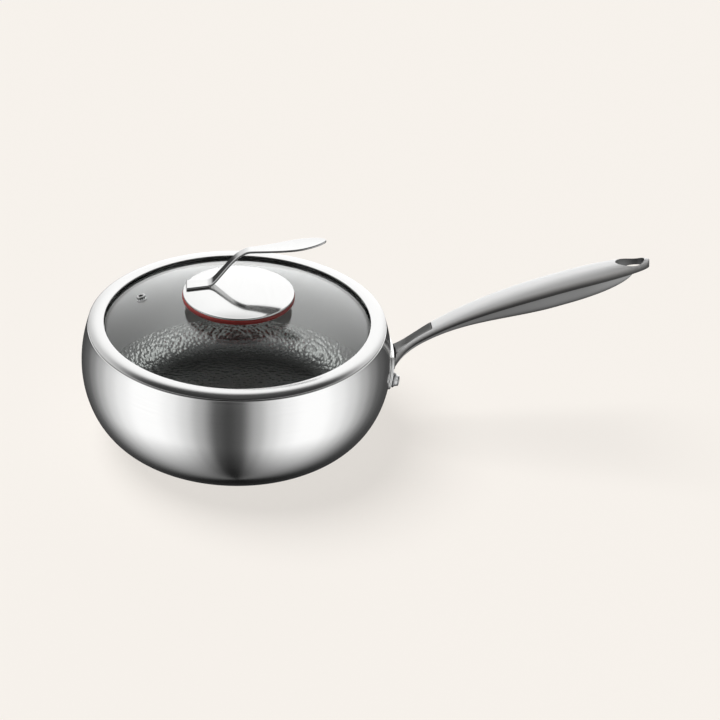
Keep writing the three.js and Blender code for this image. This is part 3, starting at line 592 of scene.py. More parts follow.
def brush_lines(nodes, lengthwise):
    """Fine lines that run round a turned piece, or along a lofted one, from its surface map."""
    where = nodes.add("SeparateXYZ", {0: nodes.add("UVMap", uv_map=SURFACE_MAP).outputs[0]}).outputs
    if lengthwise:
        parts = {
            0: nodes.math("MULTIPLY", where[0], BRUSH_ACROSS),
            1: nodes.math("MULTIPLY", where[1], BRUSH_ALONG),
        }
    else:
        place = nodes.add("SeparateXYZ", {0: nodes.add("TexCoord").outputs["Object"]}).outputs
        parts = {
            0: nodes.math("MULTIPLY", place[0], BRUSH_ROUND),
            1: nodes.math("MULTIPLY", place[1], BRUSH_ROUND),
            2: nodes.math("MULTIPLY", where[1], BRUSH_ACROSS),
        }
    return nodes.noise(nodes.add("CombineXYZ", parts).outputs[0], 1.0, 4.0, 0.65)


def brushed_steel(name, value, roughness, lengthwise=False, anisotropy=0.25, flank=1.0, mirrored=1.0):
    """Steel with fine brush lines, clouded a little by use. Flank is how much of their colour upright
    faces keep, as painted shade, and mirrored is the share of light that the grain doesn't scatter."""
    made, nodes = material(name)
    if nodes is None:
        return made
    fine = brush_lines(nodes, lengthwise)
    cloud = nodes.noise(nodes.add("TexCoord").outputs["Object"], 26.0, 2.0)
    rough = nodes.math("ADD", nodes.spread(fine, -0.05, 0.05), nodes.spread(cloud, -0.03, 0.03))
    rough = nodes.math("ADD", rough, roughness)
    bump = nodes.add("Bump", {"Strength": 0.06, "Distance": 0.00004, "Height": fine})
    tangent = nodes.add("Tangent", direction_type="UV_MAP", uv_map=SURFACE_MAP)
    shade = nodes.between(fine, tinted(value, 0.93), tinted(value, 1.05))
    if flank < 1.0:
        # Painted shade: the colour falls to the flank share where the normal lies near level
        upright = nodes.add("SeparateXYZ", {0: nodes.add("NewGeometry").outputs["Normal"]}).outputs[2]
        kept = nodes.spread(upright, flank, 1.0, FLANK_SHADE_FROM, FLANK_SHADE_TO, "SMOOTHSTEP")
        shade = nodes.add("VectorMath", {0: shade, "Scale": kept}, operation="SCALE").outputs[0]
    shader = nodes.add("BsdfPrincipled", {
        "Base Color": shade,
        "Metallic": mirrored,
        "Roughness": rough,
        "Anisotropic": anisotropy,
        "Anisotropic Rotation": 0.0 if lengthwise else 0.25,
        "Tangent": tangent.outputs[0],
        "Normal": bump.outputs[0],
    })
    nodes.add("OutputMaterial", {0: shader.outputs[0]})
    return made


def mirror_steel(name, value, roughness, haze=0.05, marks=0.0):
    """Polished steel with faint wiping marks and a trace of handling, and hammer marks if asked for."""
    made, nodes = material(name)
    if nodes is None:
        return made
    place = nodes.add("TexCoord").outputs["Object"]
    stretched = nodes.add("Mapping", {0: place, "Scale": WIPE_STRETCH}).outputs[0]
    wiped = nodes.noise(stretched, 1.0, 4.0, 0.6)
    cloud = nodes.noise(place, 40.0, 2.0)
    rough = nodes.math("ADD", nodes.spread(wiped, 0.0, haze * 0.5), nodes.spread(cloud, 0.0, haze * 0.5))
    rough = nodes.math("ADD", rough, roughness)
    shader = nodes.add("BsdfPrincipled", {
        "Base Color": nodes.between(wiped, tinted(value, 0.97), tinted(value, 1.02)),
        "Metallic": 1.0,
        "Roughness": rough,
    })
    if marks:
        cells = nodes.add("TexVoronoi", {"Vector": place, "Scale": 1 / marks}).outputs["Distance"]
        bump = nodes.add("Bump", {"Strength": 1.0, "Distance": 0.15 * marks, "Height": cells})
        nodes.tree.links.new(bump.outputs[0], shader.inputs["Normal"])
    nodes.add("OutputMaterial", {0: shader.outputs[0]})
    return made


def clear_glass(name, value):
    """Tempered glass with a faint tint and hardly any haze."""
    made, nodes = material(name)
    if nodes is None:
        return made
    cloud = nodes.noise(nodes.add("TexCoord").outputs["Object"], 45.0, 2.0)
    shader = nodes.add("BsdfPrincipled", {
        "Base Color": (*value, 1),
        "Roughness": nodes.spread(cloud, 0.0, 0.015, 0.35, 0.75),
        "IOR": 1.5,
        "Transmission Weight": 1.0,
    })
    nodes.add("OutputMaterial", {0: shader.outputs[0]})
    return made


def silicone(name, value, roughness):
    """Moulded silicone: faint mottling and a fine grain."""
    made, nodes = material(name)
    if nodes is None:
        return made
    place = nodes.add("TexCoord").outputs["Object"]
    mottle = nodes.noise(place, 90.0, 3.0)
    grain = nodes.noise(place, 2600.0, 2.0)
    bump = nodes.add("Bump", {"Strength": 0.12, "Distance": 0.00006, "Height": grain})
    shader = nodes.add("BsdfPrincipled", {
        "Base Color": nodes.between(mottle, tinted(value, 0.86), tinted(value, 1.12)),
        "Roughness": nodes.spread(mottle, roughness - 0.06, roughness + 0.06),
        "Normal": bump.outputs[0],
    })
    nodes.add("OutputMaterial", {0: shader.outputs[0]})
    return made


def satin(scene):
    looks = scene.finishes
    return brushed_steel("brushed_satin", looks.satin, looks.satin_roughness)


def handle_steel(scene):
    """Grained steel of the handle's upper shell, with painted shade on its flanks."""
    looks = scene.finishes
    return brushed_steel(
        "handle_steel", looks.handle, looks.handle_roughness, lengthwise=True,
        flank=FLANK_SHADE_KEEPS, mirrored=GRAIN_MIRRORS,
    )


def painted_shade_steel(scene):
    """Satin steel darkened by a tint: painted shade on the handle's lower shell and in its scoop."""
    return brushed_steel("painted_shade_steel", tinted(scene.finishes.satin, HANDLE_SHADE_TINT), 0.45, lengthwise=True)


def bore_shade_steel(scene):
    """Fastener steel darkened by a tint: painted shade inside the hanging hole."""
    return brushed_steel("shaded_bore", tinted(scene.finishes.fastener, BORE_SHADE_TINT), 0.5, lengthwise=True)


def inner_satin(scene):
    """Finely blasted wall inside the pot."""
    return brushed_steel("inner_satin", scene.finishes.inner, scene.finishes.inner_roughness, anisotropy=0.0)


def polished(scene):
    return mirror_steel("polished_mirror", scene.finishes.polished, 0.07)


def rolled(scene):
    """Softer polish of the lid's ring."""
    return mirror_steel("rolled_band", scene.finishes.polished, 0.15)


def fastener(scene):
    return brushed_steel("turned_fastener", scene.finishes.fastener, 0.26, anisotropy=0.3)


# Pieces


def hammer_marks(scene, start):
    """Depth of the hammer marks on the bowl: shallow cups on a jittered lattice laid over the bowl
    unrolled flat, where a point's place is its distance from the middle along the surface and its
    bearing. A cup is depth times the square of the distance to the nearest mark."""
    pot = scene.pot_sizes

    def dents(body, bearing):
        step = np.linalg.norm(np.diff(body, axis=0), axis=1)
        left = np.concatenate([np.cumsum(step[::-1])[::-1], [0]]) + body[-1, 0]
        x = left[:, None] * np.cos(bearing) / pot.hammer_pitch
        y = left[:, None] * np.sin(bearing) / pot.hammer_pitch
        column, row = np.floor(x), np.floor(y)
        nearest = np.full(x.shape, 9.0)
        for across in (-1, 0, 1):
            for along in (-1, 0, 1):
                cx, cy = column + across, row + along
                jitter_x = np.abs(np.sin(cx * 12.9898 + cy * 78.233) * 43758.5453) % 1.0
                jitter_y = np.abs(np.sin(cx * 39.346 + cy * 11.135) * 24634.6345) % 1.0
                gap = (x - cx - 0.2 - 0.6 * jitter_x) ** 2 + (y - cy - 0.2 - 0.6 * jitter_y) ** 2
                nearest = np.minimum(nearest, gap)
        inside = np.arange(len(body)) >= start
        fade = smooth((pot.hammer_reach - left) / (2 * pot.hammer_pitch)) * inside
        return pot.hammer_depth * (2.0 * np.minimum(nearest, 0.6) - 0.6) * fade[:, None]

    return dents


class SAUCEPAN_OT_pot_shell(bpy.types.Operator):
    """Vessel: satin outside, satin wall inside and a hammered bowl"""

    bl_idname = "saucepan.pot_shell"
    bl_label = "Pot shell"

    def execute(self, context):
        scene = context.scene
        pot, levels = scene.pot_sizes, Levels(scene)

        def wall(inset, low_steps):
            """One side of the wall, floor's edge to ledge: elliptic quarter, then two quadratic curves."""
            floor = pot.base_thickness + inset
            widest = pot.belly_radius - inset
            shoulder = levels.shoulder_radius - inset
            ledge = pot.rim_height - inset
            turn = max(pot.shoulder_round - inset, SEAM)
            bend_height = ledge - turn
            middle = (pot.belly_height + bend_height) / 2
            radii = (widest - pot.floor_radius, pot.belly_height - floor)
            return np.concatenate([
                ellipse((pot.floor_radius, pot.belly_height), radii, -90, 0, low_steps),
                quad((widest, pot.belly_height), (widest, middle), (shoulder, bend_height), 18),
                quad((shoulder, bend_height), (shoulder, ledge), (shoulder - turn, ledge), 8),
            ])

        edge = 0.5 * MM
        mouth, rim = levels.mouth_radius, pot.rim_height
        floor = pot.base_thickness + pot.wall
        outside = np.concatenate([
            line((0, pot.base_thickness), (pot.floor_radius, pot.base_thickness), 8),
            wall(0, 44),
            line((levels.ledge_radius, rim), (mouth + edge, rim), 3),
            quad((mouth + edge, rim), (mouth, rim), (mouth, rim - edge), 5),
        ])
        inside = np.concatenate([
            quad((mouth, rim - pot.wall + edge), (mouth, rim - pot.wall), (mouth + edge, rim - pot.wall), 5),
            wall(pot.wall, 52)[::-1],
            line((pot.floor_radius, floor), (1.0 * MM, floor), 64),
            [[0, floor]],
        ])
        outside, inside = without_doubles(outside), without_doubles(inside)
        profile = np.concatenate([outside, inside])
        start = len(outside) - 1
        left = np.concatenate([np.cumsum(np.linalg.norm(np.diff(profile, axis=0), axis=1)[::-1])[::-1], [0]])
        rows = np.arange(len(profile) - 3)
        zones = (rows >= start).astype(int) + ((rows > start) & (left[rows + 1] < pot.hammer_reach))
        piece = turned(
            "pot_shell_fine", profile, scene.stage_settings.facets,
            dents=hammer_marks(scene, start), zones=zones,
        )
        bowl = mirror_steel("hammered_steel", scene.finishes.hammered, 0.18, haze=0.04, marks=2.8 * MM)
        finish_piece(piece, "pot", "pot_shell", "satin_steel", satin(scene), inner_satin(scene), bowl)
        return {"FINISHED"}


class SAUCEPAN_OT_bonded_base(bpy.types.Operator):
    """Aluminium spreader and the steel cap under it"""

    bl_idname = "saucepan.bonded_base"
    bl_label = "Bonded base"

    def execute(self, context):
        scene = context.scene
        pot = scene.pot_sizes
        top = pot.base_thickness
        spreader = rounded([
            (0, pot.cap_thickness), (pot.spreader_radius, pot.cap_thickness),
            (pot.spreader_radius, top), (0, top),
        ], closed=False)
        spreader = turned("base_spreader_fine", spreader, KNOB_FACETS)
        core = brushed_steel("rolled_aluminium", scene.finishes.aluminium, 0.4, anisotropy=0.2)
        finish_piece(spreader, "pot", "base_spreader", "aluminium_core", core)

        inner = pot.spreader_radius + SEAM
        outer = inner + pot.cap_thickness
        turn = 2 * MM
        lip = rounded([
            (outer, top - 1.2 * MM), (outer, top - SEAM), (inner, top - SEAM), (inner, pot.cap_thickness),
            (0, pot.cap_thickness),
        ], closed=False)
        rings = np.array([0, 0.1, 0.25, 0.27, 0.29, 0.5, 0.7, 0.86, 0.88, 0.9, 0.97]) * outer
        groove = 0.25 * MM * np.array([0, 0, 0, 1, 0, 0, 0, 0, 1, 0, 0])
        path = np.concatenate([
            np.stack([rings, groove], axis=-1),
            quad((outer - turn, 0), (outer, 0), (outer, turn), 8),
            lip,
        ])
        cap = turned("base_cap_fine", path, KNOB_FACETS)
        finish_piece(cap, "pot", "base_cap", "satin_steel", satin(scene))
        return {"FINISHED"}


class SAUCEPAN_OT_handle_bracket(bpy.types.Operator):
    """Saddle on the wall with the pad that the handle is welded to"""

    bl_idname = "saucepan.handle_bracket"
    bl_label = "Handle bracket"

    def execute(self, context):
        scene = context.scene
        piece = self.saddle(scene, Levels(scene))
        steel = brushed_steel("bracket_steel", scene.finishes.satin, 0.22, lengthwise=True, anisotropy=0.3)
        finish_piece(piece, "pot", "handle_bracket", "satin_steel", steel)
        return {"FINISHED"}

    @staticmethod
    def saddle(scene, levels):
        """A pillow over a rounded rectangle in (across, height): each ray from its middle runs out on
        the front, round the edge and back behind. The front lies a sheet's thickness off the wall and
        swells smoothly to the flat pad."""
        pot, bracket, handle = scene.pot_sizes, scene.bracket_sizes, scene.handle_sizes
        low = pot.belly_height - bracket.below_belly
        high = pot.belly_height + bracket.above_belly
        middle, half_height = (low + high) / 2, (high - low) / 2
        bearing = np.linspace(0, TURN, SADDLE_RAYS, endpoint=False)
        # Outline of the rounded rectangle along each ray, by bisection on its distance function
        ray = np.stack([np.cos(bearing), np.sin(bearing)], axis=-1)
        box = np.array([bracket.half_width, half_height]) - bracket.corner
        near, far = np.zeros(SADDLE_RAYS), np.full(SADDLE_RAYS, 2 * bracket.half_width)
        for _ in range(40):
            mid = (near + far) / 2
            out = np.abs(ray * mid[:, None]) - box
            gap = np.linalg.norm(np.maximum(out, 0), axis=1) + np.minimum(out.max(axis=1), 0) - bracket.corner
            near, far = np.where(gap < 0, mid, near), np.where(gap < 0, far, mid)
        turn = np.linspace(0, math.pi / 2, EDGE_ROWS + 1)
        lip = bracket.sheet * 0.45
        edge = slice(FRONT_ROWS, FRONT_ROWS + EDGE_ROWS)
        # Front from the middle outwards, a rounded edge, then the back
        flat = np.linspace(0.02, 1, FRONT_ROWS)
        scale = np.concatenate([flat, np.ones(EDGE_ROWS), [0.98, 0.02]])
        edge_share = 1 - lip / near
        share_out = scale[:, None] * np.ones(SADDLE_RAYS)
        share_out[:FRONT_ROWS] = flat[:, None] * edge_share
        share_out[edge] = edge_share + (1 - edge_share) * np.sin(turn)[1:, None]
        depth = np.ones((len(scale), SADDLE_RAYS))
        depth[edge] = 1 - lip / bracket.sheet * (1 - np.cos(turn))[1:, None]
        depth[edge.stop:] = 0
        across = share_out * near * np.cos(bearing)
        height = middle + share_out * near * np.sin(bearing)
        off = SEAM + bracket.sheet * depth
        shell = np.sqrt(np.maximum((wall_radius(scene, height) + off) ** 2 - across ** 2, 0))
        pad_half = handle.root_half_width + bracket.pad_margin
        pad_low = levels.root_height - handle.root_side - handle.root_belly - bracket.pad_margin
        pad_high = levels.root_height + bracket.pad_margin
        out = np.stack([
            np.abs(across) - pad_half + PAD_CORNER,
            np.abs(height - (pad_low + pad_high) / 2) - (pad_high - pad_low) / 2 + PAD_CORNER,
        ])
        gap = np.linalg.norm(np.maximum(out, 0), axis=0) + np.minimum(out.max(axis=0), 0) - PAD_CORNER
        raised = smooth(-gap / bracket.pad_margin) * (depth > 0.99)
        front = np.maximum(shell, lerp(shell, levels.pad_face, raised))
        rows = np.stack([front, across, height], axis=-1)
        ends = [rows[0].mean(axis=0), rows[-1].mean(axis=0)]
        uv = np.stack([across, height], axis=-1)
        uv = np.concatenate([uv, uv[:, :1]], axis=1)
        return skin("handle_bracket_fine", rows, uv, poles=ends)


class SAUCEPAN_OT_rivets(bpy.types.Operator):
    """Two rivets through the saddle and the wall"""

    bl_idname = "saucepan.rivets"
    bl_label = "Rivets"

    def execute(self, context):
        scene = context.scene
        pot, bracket = scene.pot_sizes, scene.bracket_sizes
        grip = SEAM + bracket.sheet + SEAM
        inner = -pot.wall - HOLE_CLEARANCE - SEAM
        head, shank = bracket.rivet_head, bracket.rivet_shank
        end = grip + bracket.rivet_height
        waist, dome = 0.7 * head, 0.3 * bracket.rivet_height
        shoulder = rounded([
            (head, inner - 0.4 * MM), (head, inner), (shank, inner), (shank, grip), (head, grip),
            (head, grip + 0.9 * MM), (0.82 * head, grip + 1.6 * MM),
            (waist, end - dome), (waist, end - 0.6 * dome),
        ], closed=False)
        profile = np.concatenate([
            quad((0, inner - 2 * MM), (head, inner - 2 * MM), (head, inner - 0.4 * MM), 14),
            shoulder,
            quad((waist, end - 0.6 * dome), (waist, end), (0, end), 12),
        ])
        height = pot.belly_height - bracket.rivet_below_belly
        step = 0.5 * MM
        out, over, under = (float(wall_radius(scene, np.array(height + part))) for part in (0, step, -step))
        lean = math.atan2(over - under, 2 * step)
        bearing = math.asin(bracket.rivet_spacing / 2 / pot.belly_radius)
        for node, side in (("rivet_front", -1), ("rivet_rear", 1)):
            place = Matrix.Rotation(side * bearing, 4, "Z")
            place = place @ Matrix.Translation((out, 0, height))
            place = place @ Matrix.Rotation(math.pi / 2 + lean, 4, "Y")
            piece = turned(node + "_fine", profile, SMALL_FACETS, place=place)
            finish_piece(piece, "pot", node, "fastener_steel", fastener(scene))
        return {"FINISHED"}


class HandleForm:
    """The handle's centre line and sections."""

    def __init__(self, scene):
        self.sizes = size = scene.handle_sizes
        levels = Levels(scene)
        root = np.array([levels.pad_face + SEAM, levels.root_height])
        span = np.array([size.reach, size.rise])
        pulls = [root, root + span * (0.27, 0.64), root + span * (0.94, 0.98), root + span]
        t = np.linspace(0, 1, 3000)[:, None]
        weights = ((1 - t) ** 3, 3 * t * (1 - t) ** 2, 3 * t ** 2 * (1 - t), t ** 3)
        self.points = sum(w * p for w, p in zip(weights, pulls))
        step = np.linalg.norm(np.diff(self.points, axis=0), axis=1)
        self.arc = np.concatenate([[0], np.cumsum(step)])
        self.length = self.arc[-1]
        way = np.gradient(self.points, axis=0)
        self.slope = np.arctan2(way[:, 1], way[:, 0])
        self.belly_end = self.length - size.belly_from_tip

    def place(self, along, across, up):
        """A point of a section: the line's point, moved across and up; sections stand upright at the
        root and turn square to the line past the neck."""
        x = np.interp(along, self.arc, self.points[:, 0])
        z = np.interp(along, self.arc, self.points[:, 1])
        slope = np.interp(along, self.arc, self.slope) * smooth(along / (2 * self.sizes.neck_from_root))
        return np.stack(np.broadcast_arrays(x - up * np.sin(slope), across, z + up * np.cos(slope)), axis=-1)

    def grip_share(self, along):
        size = self.sizes
        return (along - size.neck_from_root) / (size.grip_from_root - size.neck_from_root)

    def half_width(self, along):
        """Cubic flare at the root, a sine swell from neck to grip, an elliptic end."""
        size = self.sizes
        flare = np.clip(1 - along / size.neck_from_root, 0, 1) ** 3
        root = size.neck_half_width + (size.root_half_width - size.neck_half_width) * flare
        swell = np.sin(np.clip(self.grip_share(along), 0, 1) * math.pi / 2)
        body = lerp(size.neck_half_width, size.grip_half_width, swell)
        taper = np.clip((along - self.length + size.taper_length) / size.taper_length, 0, 1)
        return np.where(along < size.neck_from_root, root, body * np.sqrt(1 - taper ** 2))

    def side(self, along):
        """Height of the side band: root value fading by a square, grip value rising smoothly."""
        size = self.sizes
        root = np.clip(1 - along / size.neck_from_root, 0, 1) ** 2
        grip = smooth(self.grip_share(along))
        flare = (size.root_side - size.neck_side) * root
        swell = (size.grip_side - size.neck_side) * grip
        return size.neck_side + flare + swell

    def belly(self, along):
        """Depth of the lower shell: root to neck to grip by smoothsteps, then an elliptic tail."""
        size = self.sizes
        neck = lerp(size.root_belly, size.neck_belly, smooth(along / size.neck_from_root))
        body = lerp(neck, size.grip_belly, smooth(self.grip_share(along)))
        tail = np.clip((along - self.belly_end + size.belly_tail) / size.belly_tail, 0, 1)
        return body * np.sqrt(1 - tail ** 2)

    def back_and_scoop(self, along, part):
        """Heights over the line at a share of the half width: the round back, (side + crown) sqrt(1 - s^3)
        less the side, and the parabola of the scoop that hollows it near the root."""
        size = self.sizes
        half = np.maximum(self.half_width(along), 0.1 * MM)
        side = self.side(along)
        crown = size.crown * half / size.grip_half_width
        back = (side + crown) * np.sqrt(np.clip(1 - np.abs(part) ** 3, 0, 1)) - side
        inner = np.maximum(1 - size.scoop_rim / half, 0.2)
        scoop = (size.scoop_depth + crown) * (part / inner) ** 2 - size.scoop_depth
        return back, scoop

    def top(self, along, part):
        """Height of the top: the scoop where it lies under the back, up to the scoop's end."""
        size = self.sizes
        back, scoop = self.back_and_scoop(along, part)
        blend = smooth((along - size.scoop_length) / size.scoop_rim + 0.5)
        return lerp(np.minimum(back, scoop), back, blend)

    def rim_share(self, along):
        """Share of the half width where scoop and back meet, by bisection."""
        near, far = np.zeros_like(along), np.ones_like(along)
        for _ in range(30):
            middle = (near + far) / 2
            back, scoop = self.back_and_scoop(along, middle)
            near, far = np.where(scoop < back, middle, near), np.where(scoop < back, far, middle)
        return near


def pair(across, up):
    return np.stack(np.broadcast_arrays(across, up), axis=-1)


def hole_cutter(form, looks):
    """Elliptic plug for the hanging hole, whose faces carry the second material. Near the handle's top
    it flares by a quarter round that follows the crown, so the hole's edge comes out rounded."""
    size = form.sizes
    middle = form.length - size.hole_from_tip - size.hole_length / 2
    bearing = np.linspace(0, TURN, HOLE_FACETS, endpoint=False)
    way, side = np.cos(bearing), np.sin(bearing)
    edge_along = middle + way * size.hole_length / 2
    edge_across = side * size.hole_width / 2
    top = form.top(edge_along, edge_across / form.half_width(edge_along))
    turn = np.linspace(0, math.pi / 2, 8)
    flare = np.concatenate([[0, 0], size.hole_round * (1 - np.cos(turn)), [1.6 * size.hole_round] * 2])
    rise = np.concatenate([size.hole_round * (np.sin(turn) - 1), [0.6 * size.hole_round]])
    levels = np.concatenate([
        np.full((1, HOLE_FACETS), -60 * MM),
        np.full((1, HOLE_FACETS), -12 * MM),
        top + rise[:, None],
        np.full((1, HOLE_FACETS), 12 * MM),
    ])
    long_half = size.hole_length / 2 + flare[:, None]
    wide_half = size.hole_width / 2 + flare[:, None]
    origin = form.place(np.array(middle), 0.0, 0.0)
    up = form.place(np.array(middle), 0.0, 1.0) - origin
    across = np.array([0.0, 1.0, 0.0])
    along = np.cross(across, up)
    local = [long_half * way, wide_half * side, levels]
    rows = origin + sum(part[..., None] * axis for part, axis in zip(local, (along, across, up)))
    plug = lofted("hole_cutter", rows)
    for look in looks:
        plug.data.materials.append(look)
    # Its faces take the second material, the bore steel with painted shade
    plug.data.polygons.foreach_set("material_index", np.ones(len(plug.data.polygons), np.int32))
    return plug


class SAUCEPAN_OT_handle(bpy.types.Operator):
    """Upper and lower shell of the hollow handle"""

    bl_idname = "saucepan.handle"
    bl_label = "Handle"

    def execute(self, context):
        scene = context.scene
        form = HandleForm(scene)
        shells = (
            ("handle_upper_shell", self.upper(form), handle_steel(scene)),
            ("handle_lower_shell", self.lower(form), painted_shade_steel(scene)),
        )
        for node, piece, steel in shells:
            # Second and third materials: bore steel with painted shade in the hanging hole, and steel with
            # painted shade for the scoop
            looks = (steel, bore_shade_steel(scene), painted_shade_steel(scene))
            finish_piece(piece, "pot", node, "satin_steel", *looks)
            cut(piece, hole_cutter(form, looks))
        return {"FINISHED"}

    @staticmethod
    def upper(form):
        """Sections of the round back over a flat underside, carried along the line. Columns of points
        follow the scoop's two rims, so that they come out crisp."""
        size = form.sizes
        scoop_start, scoop_end = size.scoop_length - size.scoop_rim, size.scoop_length + size.scoop_rim
        end = form.length - 0.15 * MM
        along = np.concatenate([
            np.linspace(0, scoop_start, 40), np.linspace(scoop_start, scoop_end, 20)[1:],
            lerp(scoop_end, end, np.sin(np.linspace(0, math.pi / 2, 150)))[1:],
        ])
        half, rim = form.half_width(along), form.rim_share(along)[:, None]
        outside = np.cos(np.linspace(0, math.pi / 2, 17))[:-1]
        part = np.concatenate([
            rim + (1 - rim) * outside, rim * np.linspace(1, -1, 41), -rim - (1 - rim) * outside[::-1],
        ], axis=1)
        up = form.top(along[:, None], part)
        piece = lofted("handle_upper_fine", form.place(along[:, None], part * half[:, None], up))
        hollow = np.zeros(len(piece.data.polygons), np.int32)
        grid = hollow[:(len(along) - 1) * part.shape[1]].reshape(len(along) - 1, -1)
        # Scoop faces take the third material, the steel with painted shade
        grid[along[1:] < size.scoop_length, len(outside):len(outside) + 40] = 2
        piece.data.polygons.foreach_set("material_index", hollow)
        return piece

    @staticmethod
    def lower(form):
        """Sections flat on top with a superellipse below: across = w cos^0.8, down = d sin^0.8."""
        size = form.sizes
        along = lerp(0.0, form.belly_end, np.sin(np.linspace(0, math.pi / 2, 170)))
        half = form.half_width(along) - size.belly_inset
        seam = -form.side(along) - SEAM
        depth = np.maximum(form.belly(along), SEAM)
        turn = np.linspace(0, math.pi, 49)
        across = -np.sign(np.cos(turn)) * np.abs(np.cos(turn)) ** 0.8
        down = np.sin(turn) ** 0.8
        lip = np.linspace(0.985, -0.985, 13)
        top = pair(lip * half[:, None], seam[:, None])
        bowl = pair(across * half[:, None], seam[:, None] - depth[:, None] * down)
        section = np.concatenate([top, bowl], axis=1)
        return lofted("handle_lower_fine", form.place(along[:, None], section[..., 0], section[..., 1]))


class SAUCEPAN_OT_lid_band(bpy.types.Operator):
    """Rolled steel band round the glass"""

    bl_idname = "saucepan.lid_band"
    bl_label = "Lid band"

    def execute(self, context):
        scene = context.scene
        lid, levels = scene.lid_sizes, Levels(scene)
        sheet, seat, top = lid.sheet, levels.seat, levels.ring_top
        inner, outer, groove = levels.ring_inner, levels.ring_outer, levels.groove_radius
        bottom = seat - lid.lip
        edge = seat + lid.ring_edge
        crown = quad((outer, edge), (lerp(inner, outer, 0.68), top + lid.crown), (inner, top), 40)
        hidden = rounded([
            crown[-4], (inner, top), (inner, top - sheet), (groove, top - sheet), (groove, bottom + sheet),
            (inner - sheet, bottom + sheet), (inner - sheet, bottom), (levels.lip_radius, bottom),
            (levels.lip_radius, seat), (outer - lid.ring_edge, seat),
        ], closed=False)
        profile = np.concatenate([
            quad((outer - lid.ring_edge, seat), (outer, seat), (outer, edge), 8), crown[:-4], hidden,
        ])
        piece = turned("lid_band_fine", profile, scene.stage_settings.facets)
        finish_piece(piece, "lid", "lid_band", "polished_steel", rolled(scene))
        return {"FINISHED"}


class SAUCEPAN_OT_lid_glass(bpy.types.Operator):
    """Domed glass with its seal and the steam vent"""

    bl_idname = "saucepan.lid_glass"
    bl_label = "Lid glass"

    def execute(self, context):
        scene = context.scene
        lid, knob, levels = scene.lid_sizes, scene.knob_sizes, Levels(scene)
        inner_sphere = levels.sphere - lid.glass
        hole, outer = knob.insert_radius, levels.glass_radius
        centre = (0, levels.glass_centre)

        def bearing(radius, sphere):
            return math.degrees(math.acos(radius / sphere))

        grind = 0.6 * MM
        under = ellipse(
            centre, (inner_sphere, inner_sphere),
            bearing(hole + grind, inner_sphere), bearing(outer - grind, inner_sphere), 64,
        )
        over = ellipse(
            centre, (levels.sphere, levels.sphere),
            bearing(outer - grind, levels.sphere), bearing(hole + grind, levels.sphere), 64,
        )
        rim_low = quad(under[-1], (outer, under[-1, 1]), (outer, under[-1, 1] + grind), 5)
        rim_high = quad((outer, over[0, 1] - grind), (outer, over[0, 1]), over[0], 5)
        bore_high = quad(over[-1], (hole, over[-1, 1]), (hole, over[-1, 1] - grind), 5)
        bore_low = quad((hole, under[0, 1] + grind), (hole, under[0, 1]), under[0], 5)
        profile = np.concatenate([under, rim_low, rim_high, over, bore_high, bore_low])
        dome = turned("lid_glass_fine", profile, GLASS_FACETS)

        from_centre = outer - lid.vent_from_edge
        lean = math.asin(from_centre / levels.sphere)
        place = Matrix.Rotation(lid.vent_bearing, 4, "Z")
        place = place @ Matrix.Translation((from_centre, 0, levels.glass_top(from_centre)))
        place = place @ Matrix.Rotation(lean, 4, "Y")
        tube = lid.vent_bore / 2 + lid.vent_wall
        plug = tube + HOLE_CLEARANCE
        ends = [(0, -3 * lid.glass), (plug, -3 * lid.glass), (plug, 3 * lid.glass), (0, 3 * lid.glass)]
        cut(dome, turned("vent_cutter", ends, SMALL_FACETS, place=place))
        clear = clear_glass("tempered_glass", scene.finishes.glass)
        finish_piece(dome, "lid", "lid_glass", "lid_glass", clear)

        inner_seal, outer_seal = levels.ring_inner + SEAM, levels.groove_radius - SEAM
        top = levels.ring_top - lid.sheet
        seal = turned("glass_seal_fine", rounded([
            (inner_seal, levels.glass_top(inner_seal) + SEAM),
            (outer_seal, levels.glass_top(outer_seal) + SEAM),
            (outer_seal, top), (inner_seal, top),
        ]), GLASS_FACETS)
        dark = silicone("dark_rubber", scene.finishes.dark, 0.5)
        finish_piece(seal, "lid", "glass_seal", "dark_silicone", dark)

        flange = tube + lid.vent_flange
        above = SEAM + lid.vent_wall
        below = -lid.glass - SEAM - lid.vent_wall
        bore = lid.vent_bore / 2
        eyelet = np.concatenate([
            rounded([
                (bore, above - 0.3 * MM), (bore, below), (flange, below), (flange, below + lid.vent_wall),
                (tube, below + lid.vent_wall), (tube, SEAM), (flange, SEAM), (flange, SEAM + 0.3 * MM),
            ], closed=False),
            quad((flange, SEAM + 0.3 * MM), (flange, above), (tube, above), 8),
            quad((tube, above), (bore, above), (bore, above - 0.3 * MM), 8),
        ])
        vent = turned("steam_vent_fine", eyelet, SMALL_FACETS, place=place)
        # The vent takes a darker copy of the polished steel
        vent_darker = mirror_steel("vent_steel", tinted(scene.finishes.polished, VENT_TINT), 0.2)
        finish_piece(vent, "lid", "steam_vent", "polished_steel", vent_darker)
        return {"FINISHED"}


